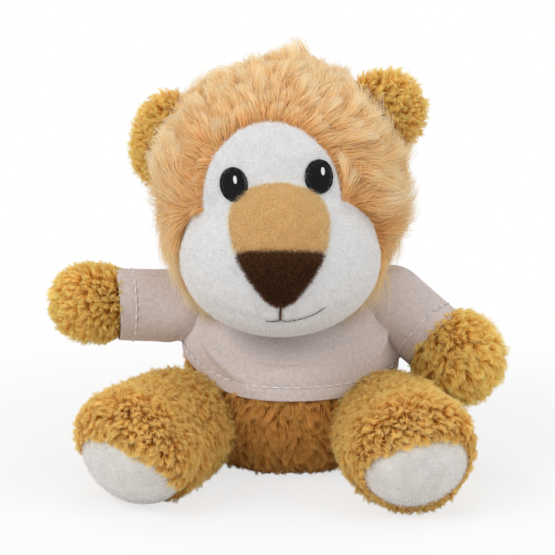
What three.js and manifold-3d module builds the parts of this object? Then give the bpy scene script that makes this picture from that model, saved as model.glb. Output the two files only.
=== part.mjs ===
// A sitting plush lion in a plain T-shirt, in millimetres.
// It faces -Y, +Z is up, and the origin is the centre of the seat under its body.
// Right and left are the lion's own: its right side is at -X.
import * as THREE from "three";
import { mergeVertices } from "three/addons/utils/BufferGeometryUtils.js";
import Module from "manifold-3d";

const wasm = await Module();
wasm.setup();

// Cloth and clearances
const seamGap = 0.3;
const curlyPile = 3.2;
const manePile = 5.6;
const shortPile = 1.4;
const jersey = 0.9;
const shirtEase = 0.6;
const embroidery = 0.7;
const seatFlat = 0.5;
const overrun = 200;
const weldDistance = 0.0001;

// Body
const torsoHeight = 58.5;
const torsoHalfWidth = 35.5;
const torsoHalfDepth = 31;
const torsoX = 2;
const neckDip = 4.5;
const chestSlope = 13.5;
const shoulderStart = 34;

// Head
const headRadius = 43.5;
const headX = -1;
const headY = -8;
const headZ = 99.5;
const headTilt = THREE.MathUtils.degToRad(5.5);
const faceX = -2.6;
const faceHalfWidth = 23.6;
const faceTop = 27.4;
const faceBottom = 24;
const lockCount = 16;
const lockDepth = 3;
const lockReach = THREE.MathUtils.degToRad(26);
const locksFade = THREE.MathUtils.degToRad(62);
const locksEnd = THREE.MathUtils.degToRad(100);
const fringeDrop = 2;
const fringeStart = THREE.MathUtils.degToRad(32);
const fringeEnd = THREE.MathUtils.degToRad(52);
const napeDrop = 2.2;
const napeStart = THREE.MathUtils.degToRad(26);
const napeEnd = THREE.MathUtils.degToRad(44);

// Muzzle
const muzzleHalfWidth = 32.5;
const muzzleHalfDepth = 30;
const muzzleHalfHeight = 25;
const muzzleY = -33;
const muzzleZ = 79.5;
const bridgeRise = 6;
const bridgeHalfWidth = 16;
const bridgeTop = 106.5;
const bridgeRoundShare = 0.85;
const noseHalfWidth = 14.6;
const noseTop = 88;
const noseTip = 70;
const noseBendShare = 0.62;
const mouthZ = 65;
const mouthHalfWidth = 19;
const mouthSag = 4.5;

// Eyes
const eyeHalfWidth = 4.3;
const eyeHalfHeight = 5.2;
const eyeSpacing = 27.6;
const eyeX = -2.2;
const eyeZ = 107.6;

// Ears
const earHalfWidth = 14.5;
const earHalfHeight = 16;
const earHalfThickness = 6;
const earStandOff = 1.8;
const earFlex = THREE.MathUtils.degToRad(15);

// Neck
const neckRadius = 10.8;
const neckBottom = 46;
const neckPivotZ = 58;
const neckY = -5;
const neckSeamZ = 54;
const neckTilt = THREE.MathUtils.degToRad(8);
const nodSlack = 1.4;

// Arms
const shoulderRadius = 11.2;
const pawRadius = 13.8;
const armLength = 32;
const shoulderZ = 54.5;
const shoulderY = -1;
const rightShoulderX = -35.5;
const leftShoulderX = 37;
const cuffAt = 21;
const cuffSwell = 2.3;

// Legs
const rightHipX = -37;
const rightHipY = -24;
const leftHipX = 37;
const leftHipY = -27;
const hipRadius = 19;
const footRadius = 20.5;
const legLength = 33;
const legWidthShare = 1.06;
const soleShare = 0.8;
const soleHalfWidth = 17.8;
const soleHalfHeight = 12.8;

// Shirt
const shirtHem = 34;
const shirtHalfWidth = 36.6;
const shirtX = 3.2;
const hemDip = 3.5;
const hemRiseRight = 10.5;
const hemRiseLeft = 1;
const armpitFold = 1.3;
const foldCount = 4;
const shirtClearing = 9.6;
const neckBandRadius = 15;
const neckBandHeight = 3;
const neckBandThickness = 1.8;
const collarCut = 12;

// Tail
const tailRadius = 4.6;
const tailLength = 36;
const tailRootY = 29.3;
const tailYaw = 180;
const tuftRadius = 8;
const tuftLength = 24;

// Colours, roughness
const golden = { color: 0xc99a55, roughness: 0.95 };
const mane = { color: 0xe4bd8b, roughness: 0.95 };
const white = { color: 0xe6e4e2, roughness: 0.9 };
const tan = { color: 0xd6ab6d, roughness: 0.9 };
const brown = { color: 0x4b2d19, roughness: 0.85 };
const black = { color: 0x1d1d20, roughness: 0.6 };
const cotton = { color: 0xe3dbdd, roughness: 0.9 };
const stuffing = { color: 0xf1efe9, roughness: 1 };

// Facets
const bodySides = 22;
const limbSides = 14;
const shirtSides = 24;
const socketSides = 14;
const maneRows = 20;
const curveSteps = 5;
const rowShare = 0.625;
const mouthShare = 0.6;

const group = new THREE.Group();

// A closed geometry as a solid that can be cut and joined.
function solidOf(geometry, matrix = new THREE.Matrix4()) {
  const bare = new THREE.BufferGeometry();
  bare.setAttribute("position", geometry.getAttribute("position").clone());
  bare.setIndex(geometry.index);
  bare.applyMatrix4(matrix);
  const merged = mergeVertices(bare, weldDistance);
  const corners = merged.index.array;
  const kept = [];
  for (let i = 0; i < corners.length; i += 3) {
    const [a, b, c] = corners.slice(i, i + 3);
    if (a !== b && b !== c && c !== a) kept.push(a, b, c);
  }
  return new wasm.Manifold(
    new wasm.Mesh({
      numProp: 3,
      vertProperties: merged.attributes.position.array,
      triVerts: new Uint32Array(kept),
    }),
  );
}

// Adds a solid's largest body to the model as one named mesh, without the crumbs that a cut leaves.
function addPart(name, solid, look) {
  const bodies = solid.decompose().sort((a, b) => b.volume() - a.volume());
  const mesh = bodies[0].getMesh();
  const geometry = new THREE.BufferGeometry();
  geometry.setAttribute("position", new THREE.BufferAttribute(mesh.vertProperties, 3));
  geometry.setIndex(new THREE.BufferAttribute(mesh.triVerts, 1));
  geometry.computeVertexNormals();
  const part = new THREE.Mesh(geometry, new THREE.MeshStandardMaterial({ ...look, metalness: 0 }));
  part.name = name;
  group.add(part);
}

function moved(x, y, z) {
  return new THREE.Matrix4().makeTranslation(x, y, z);
}

// A round form about +Z from a profile of [radius, height], lowest point first.
function turned(profile, sides, widthShare = 1, depthShare = 1) {
  const points = profile.map(([radius, height]) => new THREE.Vector2(radius, height));
  const form = new THREE.LatheGeometry(points, sides);
  form.rotateX(Math.PI / 2);
  form.scale(widthShare, depthShare, 1);
  return form;
}

// A smooth profile through shares of a radius and a height, set in from its outside by an inset.
function swelled(shares, radius, height, inset, steps) {
  const points = shares.map(([out, up]) => new THREE.Vector2(out * radius, up * height));
  const curve = new THREE.SplineCurve(points);
  return Array.from({ length: steps + 1 }, (_, step) => {
    const at = curve.getPoint(step / steps);
    const along = curve.getTangent(step / steps);
    if (step === 0) return [0, inset];
    if (step === steps) return [0, at.y - inset];
    return [at.x - along.y * inset, at.y + along.x * inset];
  });
}

// A limb's profile: two balls a length apart and the cone that wraps them, with a flattened far end.
function limbProfile({ near, far, length, inset = 0, endShare = 1 }) {
  const steps = curveSteps;
  const lean = -Math.asin((far - near) / length);
  const points = [];
  for (let step = 0; step <= steps; step += 1) {
    const angle = -Math.PI / 2 + (lean + Math.PI / 2) * (step / steps);
    points.push([(near - inset) * Math.cos(angle), (near - inset) * Math.sin(angle)]);
  }
  for (let step = 0; step <= steps; step += 1) {
    const angle = lean + (Math.PI / 2 - lean) * (step / steps);
    const beyond = far * endShare - inset;
    const along = Math.sin(angle) > 0 ? beyond : far - inset;
    points.push([(far - inset) * Math.cos(angle), length + along * Math.sin(angle)]);
  }
  points[0][0] = 0;
  points[points.length - 1][0] = 0;
  return points;
}

function ball(radius, sides, at) {
  const form = new THREE.SphereGeometry(radius, sides, Math.round(sides * rowShare));
  return solidOf(form, moved(at.x, at.y, at.z));
}

// A ball for cutting a socket: even the middles of its facets clear a ball of the given radius.
function socketBall(radius, sides, at) {
  const flat = Math.cos(Math.PI / sides) * Math.cos(Math.PI / (2 * Math.round(sides * rowShare)));
  return ball((radius + seamGap) / flat, sides, at);
}

function prism(depth) {
  return { depth, bevelEnabled: false, curveSegments: curveSteps };
}

// A solid prism of an outline in X and Z that runs along Y.
function throughY(outline, fromY, toY) {
  const depth = toY - fromY;
  const form = new THREE.ExtrudeGeometry(outline, prism(depth));
  form.rotateX(Math.PI / 2);
  return solidOf(form, moved(0, toY, 0));
}

// An oval outline whose upper and lower halves reach up and down by different amounts.
function egg(x, z, halfWidth, up, down, grow = 0) {
  const outline = new THREE.Shape();
  outline.absellipse(x, z, halfWidth + grow, up + grow, 0, Math.PI, false);
  outline.absellipse(x, z, halfWidth + grow, down + grow, Math.PI, 2 * Math.PI, false);
  return outline;
}

// Places of the joints and what is seated in them
const head = new THREE.Vector3(headX, headY, headZ);
const faceRadius = headRadius - manePile + shortPile;
const sleeveRadius = shoulderRadius + seamGap + jersey;
const arms = {
  right: {
    at: new THREE.Vector3(rightShoulderX, shoulderY, shoulderZ),
    yaw: -80,
    pitch: -6,
    lowest: 35,
    highest: 15,
  },
  left: {
    at: new THREE.Vector3(leftShoulderX, shoulderY, shoulderZ),
    yaw: 60,
    pitch: 30,
    lowest: 0,
    highest: 35,
  },
};
const legs = {
  right: {
    at: new THREE.Vector3(rightHipX, rightHipY, hipRadius - seatFlat),
    yaw: -21,
    soleTilt: 24,
    soleRoll: -20,
    soleX: -1.5,
    soleY: -5.4,
  },
  left: {
    at: new THREE.Vector3(leftHipX, leftHipY, hipRadius - seatFlat),
    yaw: 9,
    soleTilt: 8,
    soleRoll: 10,
    soleX: 0.2,
    soleY: -3.4,
  },
};
const tailRoot = new THREE.Vector3(torsoX, tailRootY, tailRadius - seatFlat);

// The matrix that lays a limb's own +Z along its yaw from straight ahead and its pitch below level.
function limbMatrix(at, yawDegrees, pitchRadians) {
  return moved(at.x, at.y, at.z)
    .multiply(new THREE.Matrix4().makeRotationZ(THREE.MathUtils.degToRad(yawDegrees)))
    .multiply(new THREE.Matrix4().makeRotationX(Math.PI / 2 + pitchRadians));
}

// Everything below the surface that the lion sits on.
function underground() {
  const form = new THREE.BoxGeometry(2 * overrun, 2 * overrun, overrun);
  return solidOf(form, moved(0, 0, -overrun / 2));
}

// Body: a pear, flat under the seat, with sockets for the hips and shoulders
const torsoShares = [[0, 0], [0.45, 0.005], [0.8, 0.09], [1, 0.33], [0.99, 0.58], [0.92, 0.84], [0.72, 1]];
const dipShares = [[0.45, 0.6], [0.3, 1], [0, 1]];

// Lowers the top of a body form towards the chest and the back, so that only the shoulders stay high.
function shouldered(form) {
  const places = form.getAttribute("position");
  for (let i = 0; i < places.count; i += 1) {
    const forward = places.getY(i) / torsoHalfDepth;
    const high = Math.max(0, places.getZ(i) - shoulderStart) / (torsoHeight - shoulderStart);
    places.setZ(i, places.getZ(i) - chestSlope * forward ** 2 * high ** 2);
  }
  return form;
}

function torsoForm(inset) {
  const height = torsoHeight + seatFlat;
  const dip = dipShares.map(([out, down]) => [out, 1 - down * neckDip / height]);
  const profile = swelled([...torsoShares, ...dip], torsoHalfWidth, height, inset, 2 * curveSteps);
  const form = turned(profile, bodySides, 1, torsoHalfDepth / torsoHalfWidth);
  return solidOf(shouldered(form), moved(torsoX, 0, -seatFlat));
}

// The room that a sleeve takes up as its arm swings from its lowest to its highest place.
function sweptSleeves({ at, yaw, pitch, lowest, highest }) {
  const flat = Math.cos(Math.PI / socketSides);
  return [lowest, 0, -highest].map((turn) => {
    const radius = (sleeveRadius + seamGap) / flat;
    const form = new THREE.CylinderGeometry(radius, radius, cuffAt, socketSides);
    form.rotateX(Math.PI / 2);
    form.translate(0, 0, cuffAt / 2);
    return solidOf(form, limbMatrix(at, yaw, THREE.MathUtils.degToRad(pitch + turn)));
  });
}

function limbSockets() {
  const shoulders = Object.values(arms).flatMap((arm) => [
    socketBall(sleeveRadius, socketSides, arm.at),
    ...sweptSleeves(arm),
  ]);
  const hips = Object.values(legs).map(({ at }) => socketBall(hipRadius * legWidthShare, socketSides, at));
  const tailSocket = socketBall(tailRadius, socketSides, tailRoot);
  return [...shoulders, ...hips, tailSocket].reduce((sum, socket) => sum.add(socket));
}

// Neck: a plug of stuffing with a domed top, about whose centre the head nods
const neckPivot = new THREE.Vector3(headX, neckY, neckPivotZ);

function neckShaft(radius, bottom) {
  const height = neckPivotZ - bottom;
  const form = new THREE.CylinderGeometry(radius, radius, height, bodySides);
  form.rotateX(Math.PI / 2);
  return solidOf(form, moved(headX, neckY, neckPivotZ - height / 2));
}

function neckPlug() {
  return neckShaft(neckRadius, neckBottom).add(ball(neckRadius, bodySides, neckPivot));
}

// The hollow in the head that the plug fills, wider below so that the head can nod.
function neckRecess() {
  return neckShaft(neckRadius + nodSlack, neckBottom).add(socketBall(neckRadius, bodySides, neckPivot));
}

// A round blank about the neck's seam, which leans forward.
function neckBlank(radius, height) {
  const form = new THREE.CylinderGeometry(radius, radius, height, bodySides);
  form.rotateX(Math.PI / 2 + neckTilt);
  return solidOf(form, moved(headX, neckY, neckSeamZ));
}

function makeTorso() {
  const sockets = limbSockets();
  const opening = neckShaft(neckRadius + seamGap, neckBottom - seamGap)
    .add(socketBall(neckRadius, bodySides, neckPivot));
  const collar = neckBlank(neckBandRadius + seamGap, neckBandHeight + 2 * seamGap);
  const room = sockets.add(opening).add(collar);
  const skin = torsoForm(0)
    .subtract(torsoForm(curlyPile))
    .subtract(shirtRing(shirtEase, shirtClearing))
    .subtract(room);
  const filling = torsoForm(curlyPile + seamGap).subtract(room);
  addPart("torso_skin", skin.subtract(underground()), golden);
  addPart("torso_filling", filling, stuffing);
  addPart("neck_filling", neckPlug(), stuffing);
}

// Head: a ball of long pile with an egg-shaped opening for the short-pile face
function muzzleForm(inset) {
  const form = new THREE.SphereGeometry(1, bodySides, bodySides * rowShare);
  const places = form.getAttribute("position");
  const width = muzzleHalfWidth - inset;
  const depth = muzzleHalfDepth - inset;
  const height = muzzleHalfHeight - inset;
  for (let i = 0; i < places.count; i += 1) {
    const x = places.getX(i) * width;
    const up = places.getZ(i);
    const rise = bridgeRise * Math.max(up, 0) * Math.exp(-((x / bridgeHalfWidth) ** 2));
    places.setXYZ(i, x, places.getY(i) * depth, up * height + rise);
  }
  return solidOf(form, moved(headX, muzzleY, muzzleZ));
}

function faceOutline(grow) {
  const tilt = moved(headX, 0, headZ)
    .multiply(new THREE.Matrix4().makeRotationY(-headTilt))
    .multiply(moved(-headX, 0, -headZ));
  const upright = throughY(egg(faceX, headZ, faceHalfWidth, faceTop, faceBottom, grow), -overrun, headY);
  return upright.transform(tilt.elements);
}

// How far the mane lies under its full ball along a heading from the head's middle:
// low at the face, in staggered locks over the front and sides, and pressed flat under the chin and nape.
function maneHollow(out) {
  const fromFace = Math.acos(THREE.MathUtils.clamp(-out.y, -1, 1));
  const round = Math.atan2(out.x, out.z);
  const fringe = fringeDrop * (1 - THREE.MathUtils.smoothstep(fromFace, fringeStart, fringeEnd));
  const standing = 1 - THREE.MathUtils.smoothstep(fromFace, locksFade, locksEnd);
  const lock = Math.cos(lockCount * round) * Math.cos(Math.PI * (fromFace - fringeStart) / lockReach);
  const pressed = napeDrop * THREE.MathUtils.smoothstep(-out.z, Math.cos(napeEnd), Math.cos(napeStart));
  return fringe + lockDepth * standing * (1 - lock) / 2 + pressed;
}

function maneForm(grow) {
  const form = new THREE.SphereGeometry(1, lockCount * 2, maneRows);
  const places = form.getAttribute("position");
  for (let i = 0; i < places.count; i += 1) {
    const out = new THREE.Vector3().fromBufferAttribute(places, i);
    out.multiplyScalar(headRadius - maneHollow(out) + grow);
    places.setXYZ(i, out.x, out.y, out.z);
  }
  return solidOf(form, moved(headX, headY, headZ));
}

function makeHead() {
  const inner = ball(faceRadius - shortPile, bodySides, head);
  const neck = neckRecess();
  const maneSkin = maneForm(0)
    .subtract(inner)
    .subtract(faceOutline(seamGap))
    .subtract(muzzleForm(-seamGap))
    .subtract(neck);
  addPart("mane_skin", maneSkin, mane);
  const face = ball(faceRadius, bodySides, head).subtract(inner).intersect(faceOutline(0));
  addPart("face_panel", face.subtract(eyeSpots(seamGap)), white);
  const filling = ball(faceRadius - shortPile - seamGap, bodySides, head);
  addPart("head_filling", filling.subtract(neck), stuffing);
}

// Eyes: embroidered ovals let into the face panel and standing a thread's height above it
function eyeSpots(grow) {
  const spots = [-1, 1].map((side) => {
    const x = eyeX + side * (eyeSpacing / 2) * Math.cos(headTilt);
    const z = eyeZ + side * (eyeSpacing / 2) * Math.sin(headTilt);
    return throughY(egg(x, z, eyeHalfWidth, eyeHalfHeight, eyeHalfHeight, grow), -overrun, headY);
  });
  return spots[0].add(spots[1]);
}

function makeEyes() {
  const backing = ball(faceRadius - shortPile, bodySides, head);
  const layer = ball(faceRadius + embroidery, bodySides, head).subtract(backing);
  const eyes = layer.intersect(eyeSpots(0)).subtract(muzzleForm(-seamGap)).decompose();
  eyes.sort((a, b) => a.boundingBox().min[0] - b.boundingBox().min[0]);
  addPart("eye_right", eyes[0], black);
  addPart("eye_left", eyes[1], black);
}

// Muzzle: white cheeks, a tan bridge, a brown nose and a chin, sewn into one stuffed bulge on the face
function bridgeOutline(grow) {
  const outline = new THREE.Shape();
  const half = bridgeHalfWidth + grow;
  const top = bridgeTop + grow;
  const shoulder = bridgeTop - bridgeHalfWidth * bridgeRoundShare;
  const foot = noseTop - grow;
  outline.moveTo(headX - half, foot);
  outline.lineTo(headX + half, foot);
  outline.lineTo(headX + half, shoulder);
  outline.quadraticCurveTo(headX + half, top, headX, top);
  outline.quadraticCurveTo(headX - half, top, headX - half, shoulder);
  return outline;
}

function noseOutline(grow) {
  const outline = new THREE.Shape();
  const half = noseHalfWidth + grow;
  const tip = noseTip - grow;
  const bend = (noseTop + noseTip) / 2 - grow;
  outline.moveTo(headX - half, noseTop - seamGap);
  outline.quadraticCurveTo(headX - half * noseBendShare, bend, headX, tip);
  outline.quadraticCurveTo(headX + half * noseBendShare, bend, headX + half, noseTop - seamGap);
  return outline;
}

function chinOutline(grow) {
  const outline = new THREE.Shape();
  const half = mouthHalfWidth + muzzleHalfWidth;
  const corner = mouthZ + mouthSag + mouthSag + grow;
  const below = muzzleZ - muzzleHalfHeight - mouthSag;
  outline.moveTo(headX - half, below);
  outline.lineTo(headX + half, below);
  outline.lineTo(headX + half, corner);
  outline.quadraticCurveTo(headX, mouthZ - mouthSag - mouthSag + grow, headX - half, corner);
  return outline;
}

function makeMuzzle() {
  const faceBall = ball(faceRadius + seamGap, bodySides, head);
  const neck = neckRecess();
  const skin = muzzleForm(0).subtract(muzzleForm(shortPile)).subtract(faceBall).subtract(neck);
  const bridge = throughY(bridgeOutline(0), -overrun, head.y);
  const nose = throughY(noseOutline(0), -overrun, head.y);
  const chin = throughY(chinOutline(0), -overrun, head.y);
  const cheeks = skin
    .subtract(throughY(bridgeOutline(seamGap), -overrun, head.y))
    .subtract(throughY(noseOutline(seamGap), -overrun, head.y))
    .subtract(throughY(chinOutline(seamGap), -overrun, head.y));
  addPart("muzzle_skin", cheeks, white);
  addPart("nose_bridge", skin.intersect(bridge), tan);
  addPart("nose_tip", skin.intersect(nose), brown);
  addPart("chin_panel", skin.intersect(chin), white);
  addPart("muzzle_filling", muzzleForm(shortPile + seamGap).subtract(faceBall).subtract(neck), stuffing);
}

// Ears: flat stuffed ovals, their roots hollowed to the head and relieved so that they can flex
const ears = {
  right: { aim: new THREE.Vector3(-0.86, 0.3, 0.39), turn: -38, widthShare: 1.08, heightShare: 0.82 },
  left: { aim: new THREE.Vector3(0.79, 0.08, 0.57), turn: 12, widthShare: 0.97, heightShare: 0.9 },
};

function earFrame({ aim, turn }) {
  const out = aim.clone().normalize();
  const angle = THREE.MathUtils.degToRad(turn);
  const face = new THREE.Vector3(Math.sin(angle), -Math.cos(angle), 0);
  const across = new THREE.Vector3().crossVectors(out, face).normalize();
  const front = new THREE.Vector3().crossVectors(out, across).normalize();
  return { out, across, front };
}

function makeEar(side) {
  const { out, across, front } = earFrame(ears[side]);
  const root = head.clone().addScaledVector(out, headRadius);
  const centre = head.clone().addScaledVector(out, headRadius + earStandOff);
  const form = new THREE.SphereGeometry(1, limbSides, limbSides * rowShare);
  const { widthShare, heightShare } = ears[side];
  form.scale(earHalfWidth * widthShare, earHalfThickness, earHalfHeight * heightShare);
  const basis = new THREE.Matrix4().makeBasis(across, front, out).setPosition(centre);
  let ear = solidOf(form, basis);
  for (const share of [0, -1, 1]) {
    const swing = moved(root.x, root.y, root.z)
      .multiply(new THREE.Matrix4().makeRotationAxis(across, share * earFlex))
      .multiply(moved(-root.x, -root.y, -root.z));
    ear = ear.subtract(maneForm(seamGap).transform(swing.elements));
  }
  addPart(`ear_${side}`, ear, golden);
}

// Arms: a ball in the shoulder, squeezed to a tube by the sleeve, and a paw that swells out of the cuff
function armProfile(inset) {
  return limbProfile({ near: shoulderRadius, far: pawRadius, length: armLength, inset });
}

// What is cut off the root of an arm, on the far side of a plane square to it beyond its joint.
function armMouth() {
  const form = new THREE.BoxGeometry(overrun, overrun, overrun);
  return solidOf(form, moved(0, 0, -sleeveRadius * mouthShare - overrun / 2));
}

function makeArm(side) {
  const { at, yaw, pitch } = arms[side];
  const matrix = limbMatrix(at, yaw, THREE.MathUtils.degToRad(pitch));
  const mouth = armMouth();
  const outside = solidOf(turned(limitedToCuff(armProfile(0)), limbSides));
  const inside = solidOf(turned(armProfile(curlyPile), limbSides));
  const skin = outside.subtract(inside).subtract(mouth);
  const filling = solidOf(turned(armProfile(curlyPile + seamGap), limbSides)).subtract(mouth);
  addPart(`arm_${side}_skin`, skin.transform(matrix.elements), golden);
  addPart(`arm_${side}_filling`, filling.transform(matrix.elements), stuffing);
  addPart(`sleeve_${side}`, sleeveForm().subtract(mouth).transform(matrix.elements), cotton);
}

// The arm's outside: held to the shoulder's radius as far as the cuff, and its full swell beyond it.
function limitedToCuff(profile) {
  const before = profile.filter(([, along]) => along < 0);
  const after = profile.filter(([, along]) => along > cuffAt + cuffSwell);
  const swellAt = shoulderRadius + (pawRadius - shoulderRadius) * (cuffAt / armLength);
  return [...before, [shoulderRadius, 0], [shoulderRadius, cuffAt], [swellAt, cuffAt + seamGap], ...after];
}

function sleeveForm() {
  const outer = shoulderRadius + seamGap + jersey;
  const inner = shoulderRadius + seamGap;
  const arc = (radius) => Array.from({ length: curveSteps }, (_, ring) => {
    const angle = -Math.PI / 2 + (ring / curveSteps) * (Math.PI / 2);
    return [ring ? radius * Math.cos(angle) : 0, radius * Math.sin(angle)];
  });
  const outside = [...arc(outer), [outer, 0], [outer, cuffAt]];
  const inside = [...arc(inner), [inner, 0], [inner, cuffAt]];
  return solidOf(turned([...outside, ...inside.reverse()], limbSides));
}

// Legs: hip ball, a short thigh and a foot with a flattened end that carries the sole
function legForm(side, inset) {
  const size = { near: hipRadius, far: footRadius, length: legLength };
  const form = turned(limbProfile({ ...size, inset, endShare: soleShare }), limbSides, legWidthShare);
  const tiltSlope = Math.tan(THREE.MathUtils.degToRad(legs[side].soleTilt));
  const rollSlope = Math.tan(THREE.MathUtils.degToRad(legs[side].soleRoll));
  const places = form.getAttribute("position");
  for (let i = 0; i < places.count; i += 1) {
    const along = places.getZ(i);
    const reach = Math.max(0, along / (legLength + footRadius));
    const slant = tiltSlope * places.getY(i) - rollSlope * places.getX(i);
    places.setZ(i, along + reach ** 2 * slant);
  }
  return solidOf(form);
}

function soleWindow(side, grow) {
  const { soleX, soleY } = legs[side];
  const outline = egg(soleX, soleY, soleHalfWidth, soleHalfHeight, soleHalfHeight, grow);
  return solidOf(new THREE.ExtrudeGeometry(outline, prism(overrun)), moved(0, 0, legLength));
}

function makeLeg(side) {
  const { at, yaw } = legs[side];
  const level = -Math.asin((footRadius - hipRadius) / legLength);
  const matrix = limbMatrix(at, yaw, level);
  const inside = legForm(side, curlyPile);
  const outside = legForm(side, 0).subtract(soleWindow(side, seamGap));
  const skin = outside.subtract(inside).transform(matrix.elements);
  const sole = legForm(side, curlyPile - shortPile).subtract(inside).intersect(soleWindow(side, 0));
  addPart(`leg_${side}_skin`, skin.subtract(underground()), golden);
  addPart(`leg_${side}_filling`, legForm(side, curlyPile + seamGap).transform(matrix.elements), stuffing);
  addPart(`sole_${side}`, sole.transform(matrix.elements), white);
}

// Shirt: front and back panels joined at the sides, a ribbed neck band, and the sleeves on the arms
const shirtShares = [[1, 0], [1, 0.3], [0.97, 0.62], [0.88, 0.9], [0.72, 1], [0.56, 0.92], [0.48, 0.87]];

// The shirt's body, or a blank that clears it by a gap inside and reaches outwards by an overlap.
function shirtRing(gap = 0, overlap = 0) {
  const top = torsoHeight + 2 * seamGap + jersey;
  const points = shirtShares.map(([out, up]) => {
    return new THREE.Vector2(out * shirtHalfWidth, shirtHem + up * (top - shirtHem));
  });
  const curve = new THREE.SplineCurve(points);
  const steps = curveSteps + 1;
  const layer = (inset) => Array.from({ length: steps + 1 }, (_, step) => {
    const at = curve.getPoint(step / steps);
    const along = curve.getTangent(step / steps);
    const beyond = { 0: -gap, [steps]: gap }[step] ?? 0;
    return [at.x - along.y * inset + along.x * beyond, at.y + along.x * inset + along.y * beyond];
  });
  const outside = layer(-overlap);
  const inside = layer(jersey + gap);
  const profile = [...outside, ...inside.reverse(), outside[0]];
  const form = turned(profile, shirtSides, 1, torsoHalfDepth / torsoHalfWidth);
  shouldered(form);
  const places = form.getAttribute("position");
  for (let i = 0; i < places.count; i += 1) {
    const around = Math.atan2(places.getX(i), -places.getY(i));
    const low = Math.max(0, 1 - (places.getZ(i) - shirtHem) / (torsoHeight - shirtHem));
    const fold = 1 + (armpitFold / shirtHalfWidth) * low * Math.cos(foldCount * around) ** 2;
    const sideRise = Math.sin(around) < 0 ? hemRiseRight : hemRiseLeft;
    const rise = sideRise * Math.sin(around) ** 2 - hemDip * Math.max(0, Math.cos(around));
    places.setXYZ(i, places.getX(i) * fold, places.getY(i) * fold, places.getZ(i) + low * rise);
  }
  return solidOf(form, moved(shirtX, 0, 0));
}

function makeShirt() {
  const collar = neckBlank(neckBandRadius + seamGap, collarCut);
  const shirt = shirtRing().subtract(limbSockets()).subtract(collar);
  const half = (sign) => {
    const block = new THREE.BoxGeometry(overrun, overrun, overrun);
    return solidOf(block, moved(0, sign * (overrun + seamGap) / 2, 0));
  };
  addPart("shirt_front", shirt.intersect(half(-1)), cotton);
  addPart("shirt_back", shirt.intersect(half(1)), cotton);
  const hole = neckBlank(neckBandRadius - neckBandThickness, collarCut);
  addPart("shirt_neck_band", neckBlank(neckBandRadius, neckBandHeight).subtract(hole), cotton);
}

// Tail: a thin tube of curly plush lying behind the seat, with a tuft at its end
function tailTube(radius) {
  const profile = limbProfile({ near: radius, far: radius, length: tailLength });
  return solidOf(turned(profile, socketSides), limbMatrix(tailRoot, tailYaw, 0));
}

function makeTail() {
  const tuftForm = new THREE.SphereGeometry(1, socketSides, socketSides * rowShare);
  tuftForm.scale(tuftRadius, tuftLength / 2, tuftRadius);
  const tuftY = tailRootY + tailLength + tuftLength / 2 - tailRadius;
  const tuft = solidOf(tuftForm, moved(torsoX, tuftY, tuftRadius - seatFlat));
  addPart("tail", tailTube(tailRadius).subtract(underground()), golden);
  addPart("tail_tuft", tuft.subtract(tailTube(tailRadius + seamGap)).subtract(underground()), mane);
}

makeTorso();
makeHead();
makeEyes();
makeMuzzle();
for (const side of ["right", "left"]) {
  makeEar(side);
  makeArm(side);
  makeLeg(side);
}
makeShirt();
makeTail();

export default group;
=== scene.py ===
import bpy
import numpy as np
from mathutils import Matrix, Vector, kdtree


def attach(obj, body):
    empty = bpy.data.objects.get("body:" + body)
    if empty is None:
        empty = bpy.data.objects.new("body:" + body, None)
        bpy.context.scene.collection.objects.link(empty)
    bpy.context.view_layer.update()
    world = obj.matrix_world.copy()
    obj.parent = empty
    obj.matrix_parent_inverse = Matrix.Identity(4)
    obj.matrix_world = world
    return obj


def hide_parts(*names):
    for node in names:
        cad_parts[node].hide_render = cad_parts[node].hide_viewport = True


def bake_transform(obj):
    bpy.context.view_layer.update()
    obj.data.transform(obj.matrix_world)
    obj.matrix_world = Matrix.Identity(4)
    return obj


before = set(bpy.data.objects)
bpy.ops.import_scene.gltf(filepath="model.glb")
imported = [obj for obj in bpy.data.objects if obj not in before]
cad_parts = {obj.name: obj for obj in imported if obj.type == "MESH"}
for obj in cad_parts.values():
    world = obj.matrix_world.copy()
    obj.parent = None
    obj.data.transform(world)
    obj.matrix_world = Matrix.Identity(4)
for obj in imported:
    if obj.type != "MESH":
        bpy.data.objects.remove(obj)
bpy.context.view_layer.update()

mm = 0.001

# Body
# A stuffed pear of curly golden plush, sewn from panels and closed at the neck.
# Only its lower part shows below the shirt, with its pile brushed down.
torso_height = 59 * mm
torso_half_width = 35.5 * mm
torso_half_depth = 31 * mm
torso_x = 2 * mm
chest_slope = 13.5 * mm
shoulder_start = 34 * mm
seat_flat = 0.5 * mm
curly_backing = 2.7 * mm
torso_shares = [(0, 0), (0.45, 0.005), (0.8, 0.09), (1, 0.33), (0.99, 0.58), (0.92, 0.84), (0.72, 1)]
dip_shares = [(0.45, 0.9542), (0.3, 0.9237), (0, 0.9237)]
seat_bare = 2.6 * mm
under_hem = 3 * mm
back_fur_start = -8 * mm
back_fur_blend = 22 * mm
root_depth = 0.3 * mm
brushed_swirl = 8 * mm
torso_sides = 96
torso_steps = 56
most_triangles = 190_000

hem_front = 30 * mm
hem_right_side = 41.5 * mm
hem_left_side = 34.5 * mm
hem_back = 34 * mm


def unit(vectors):
    return vectors / np.maximum(np.linalg.norm(vectors, axis=-1, keepdims=True), 1e-12)


def tone(red, green, blue):
    """A colour as it is seen on a screen, 0 to 255, as the shader's linear values."""
    share = np.array([red, green, blue]) / 255
    linear = np.where(share <= 0.04045, share / 12.92, ((share + 0.055) / 1.055) ** 2.4)
    return (*linear.tolist(), 1.0)


def full_turn(count):
    return np.linspace(0, 2 * np.pi, count, endpoint=False)


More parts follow.
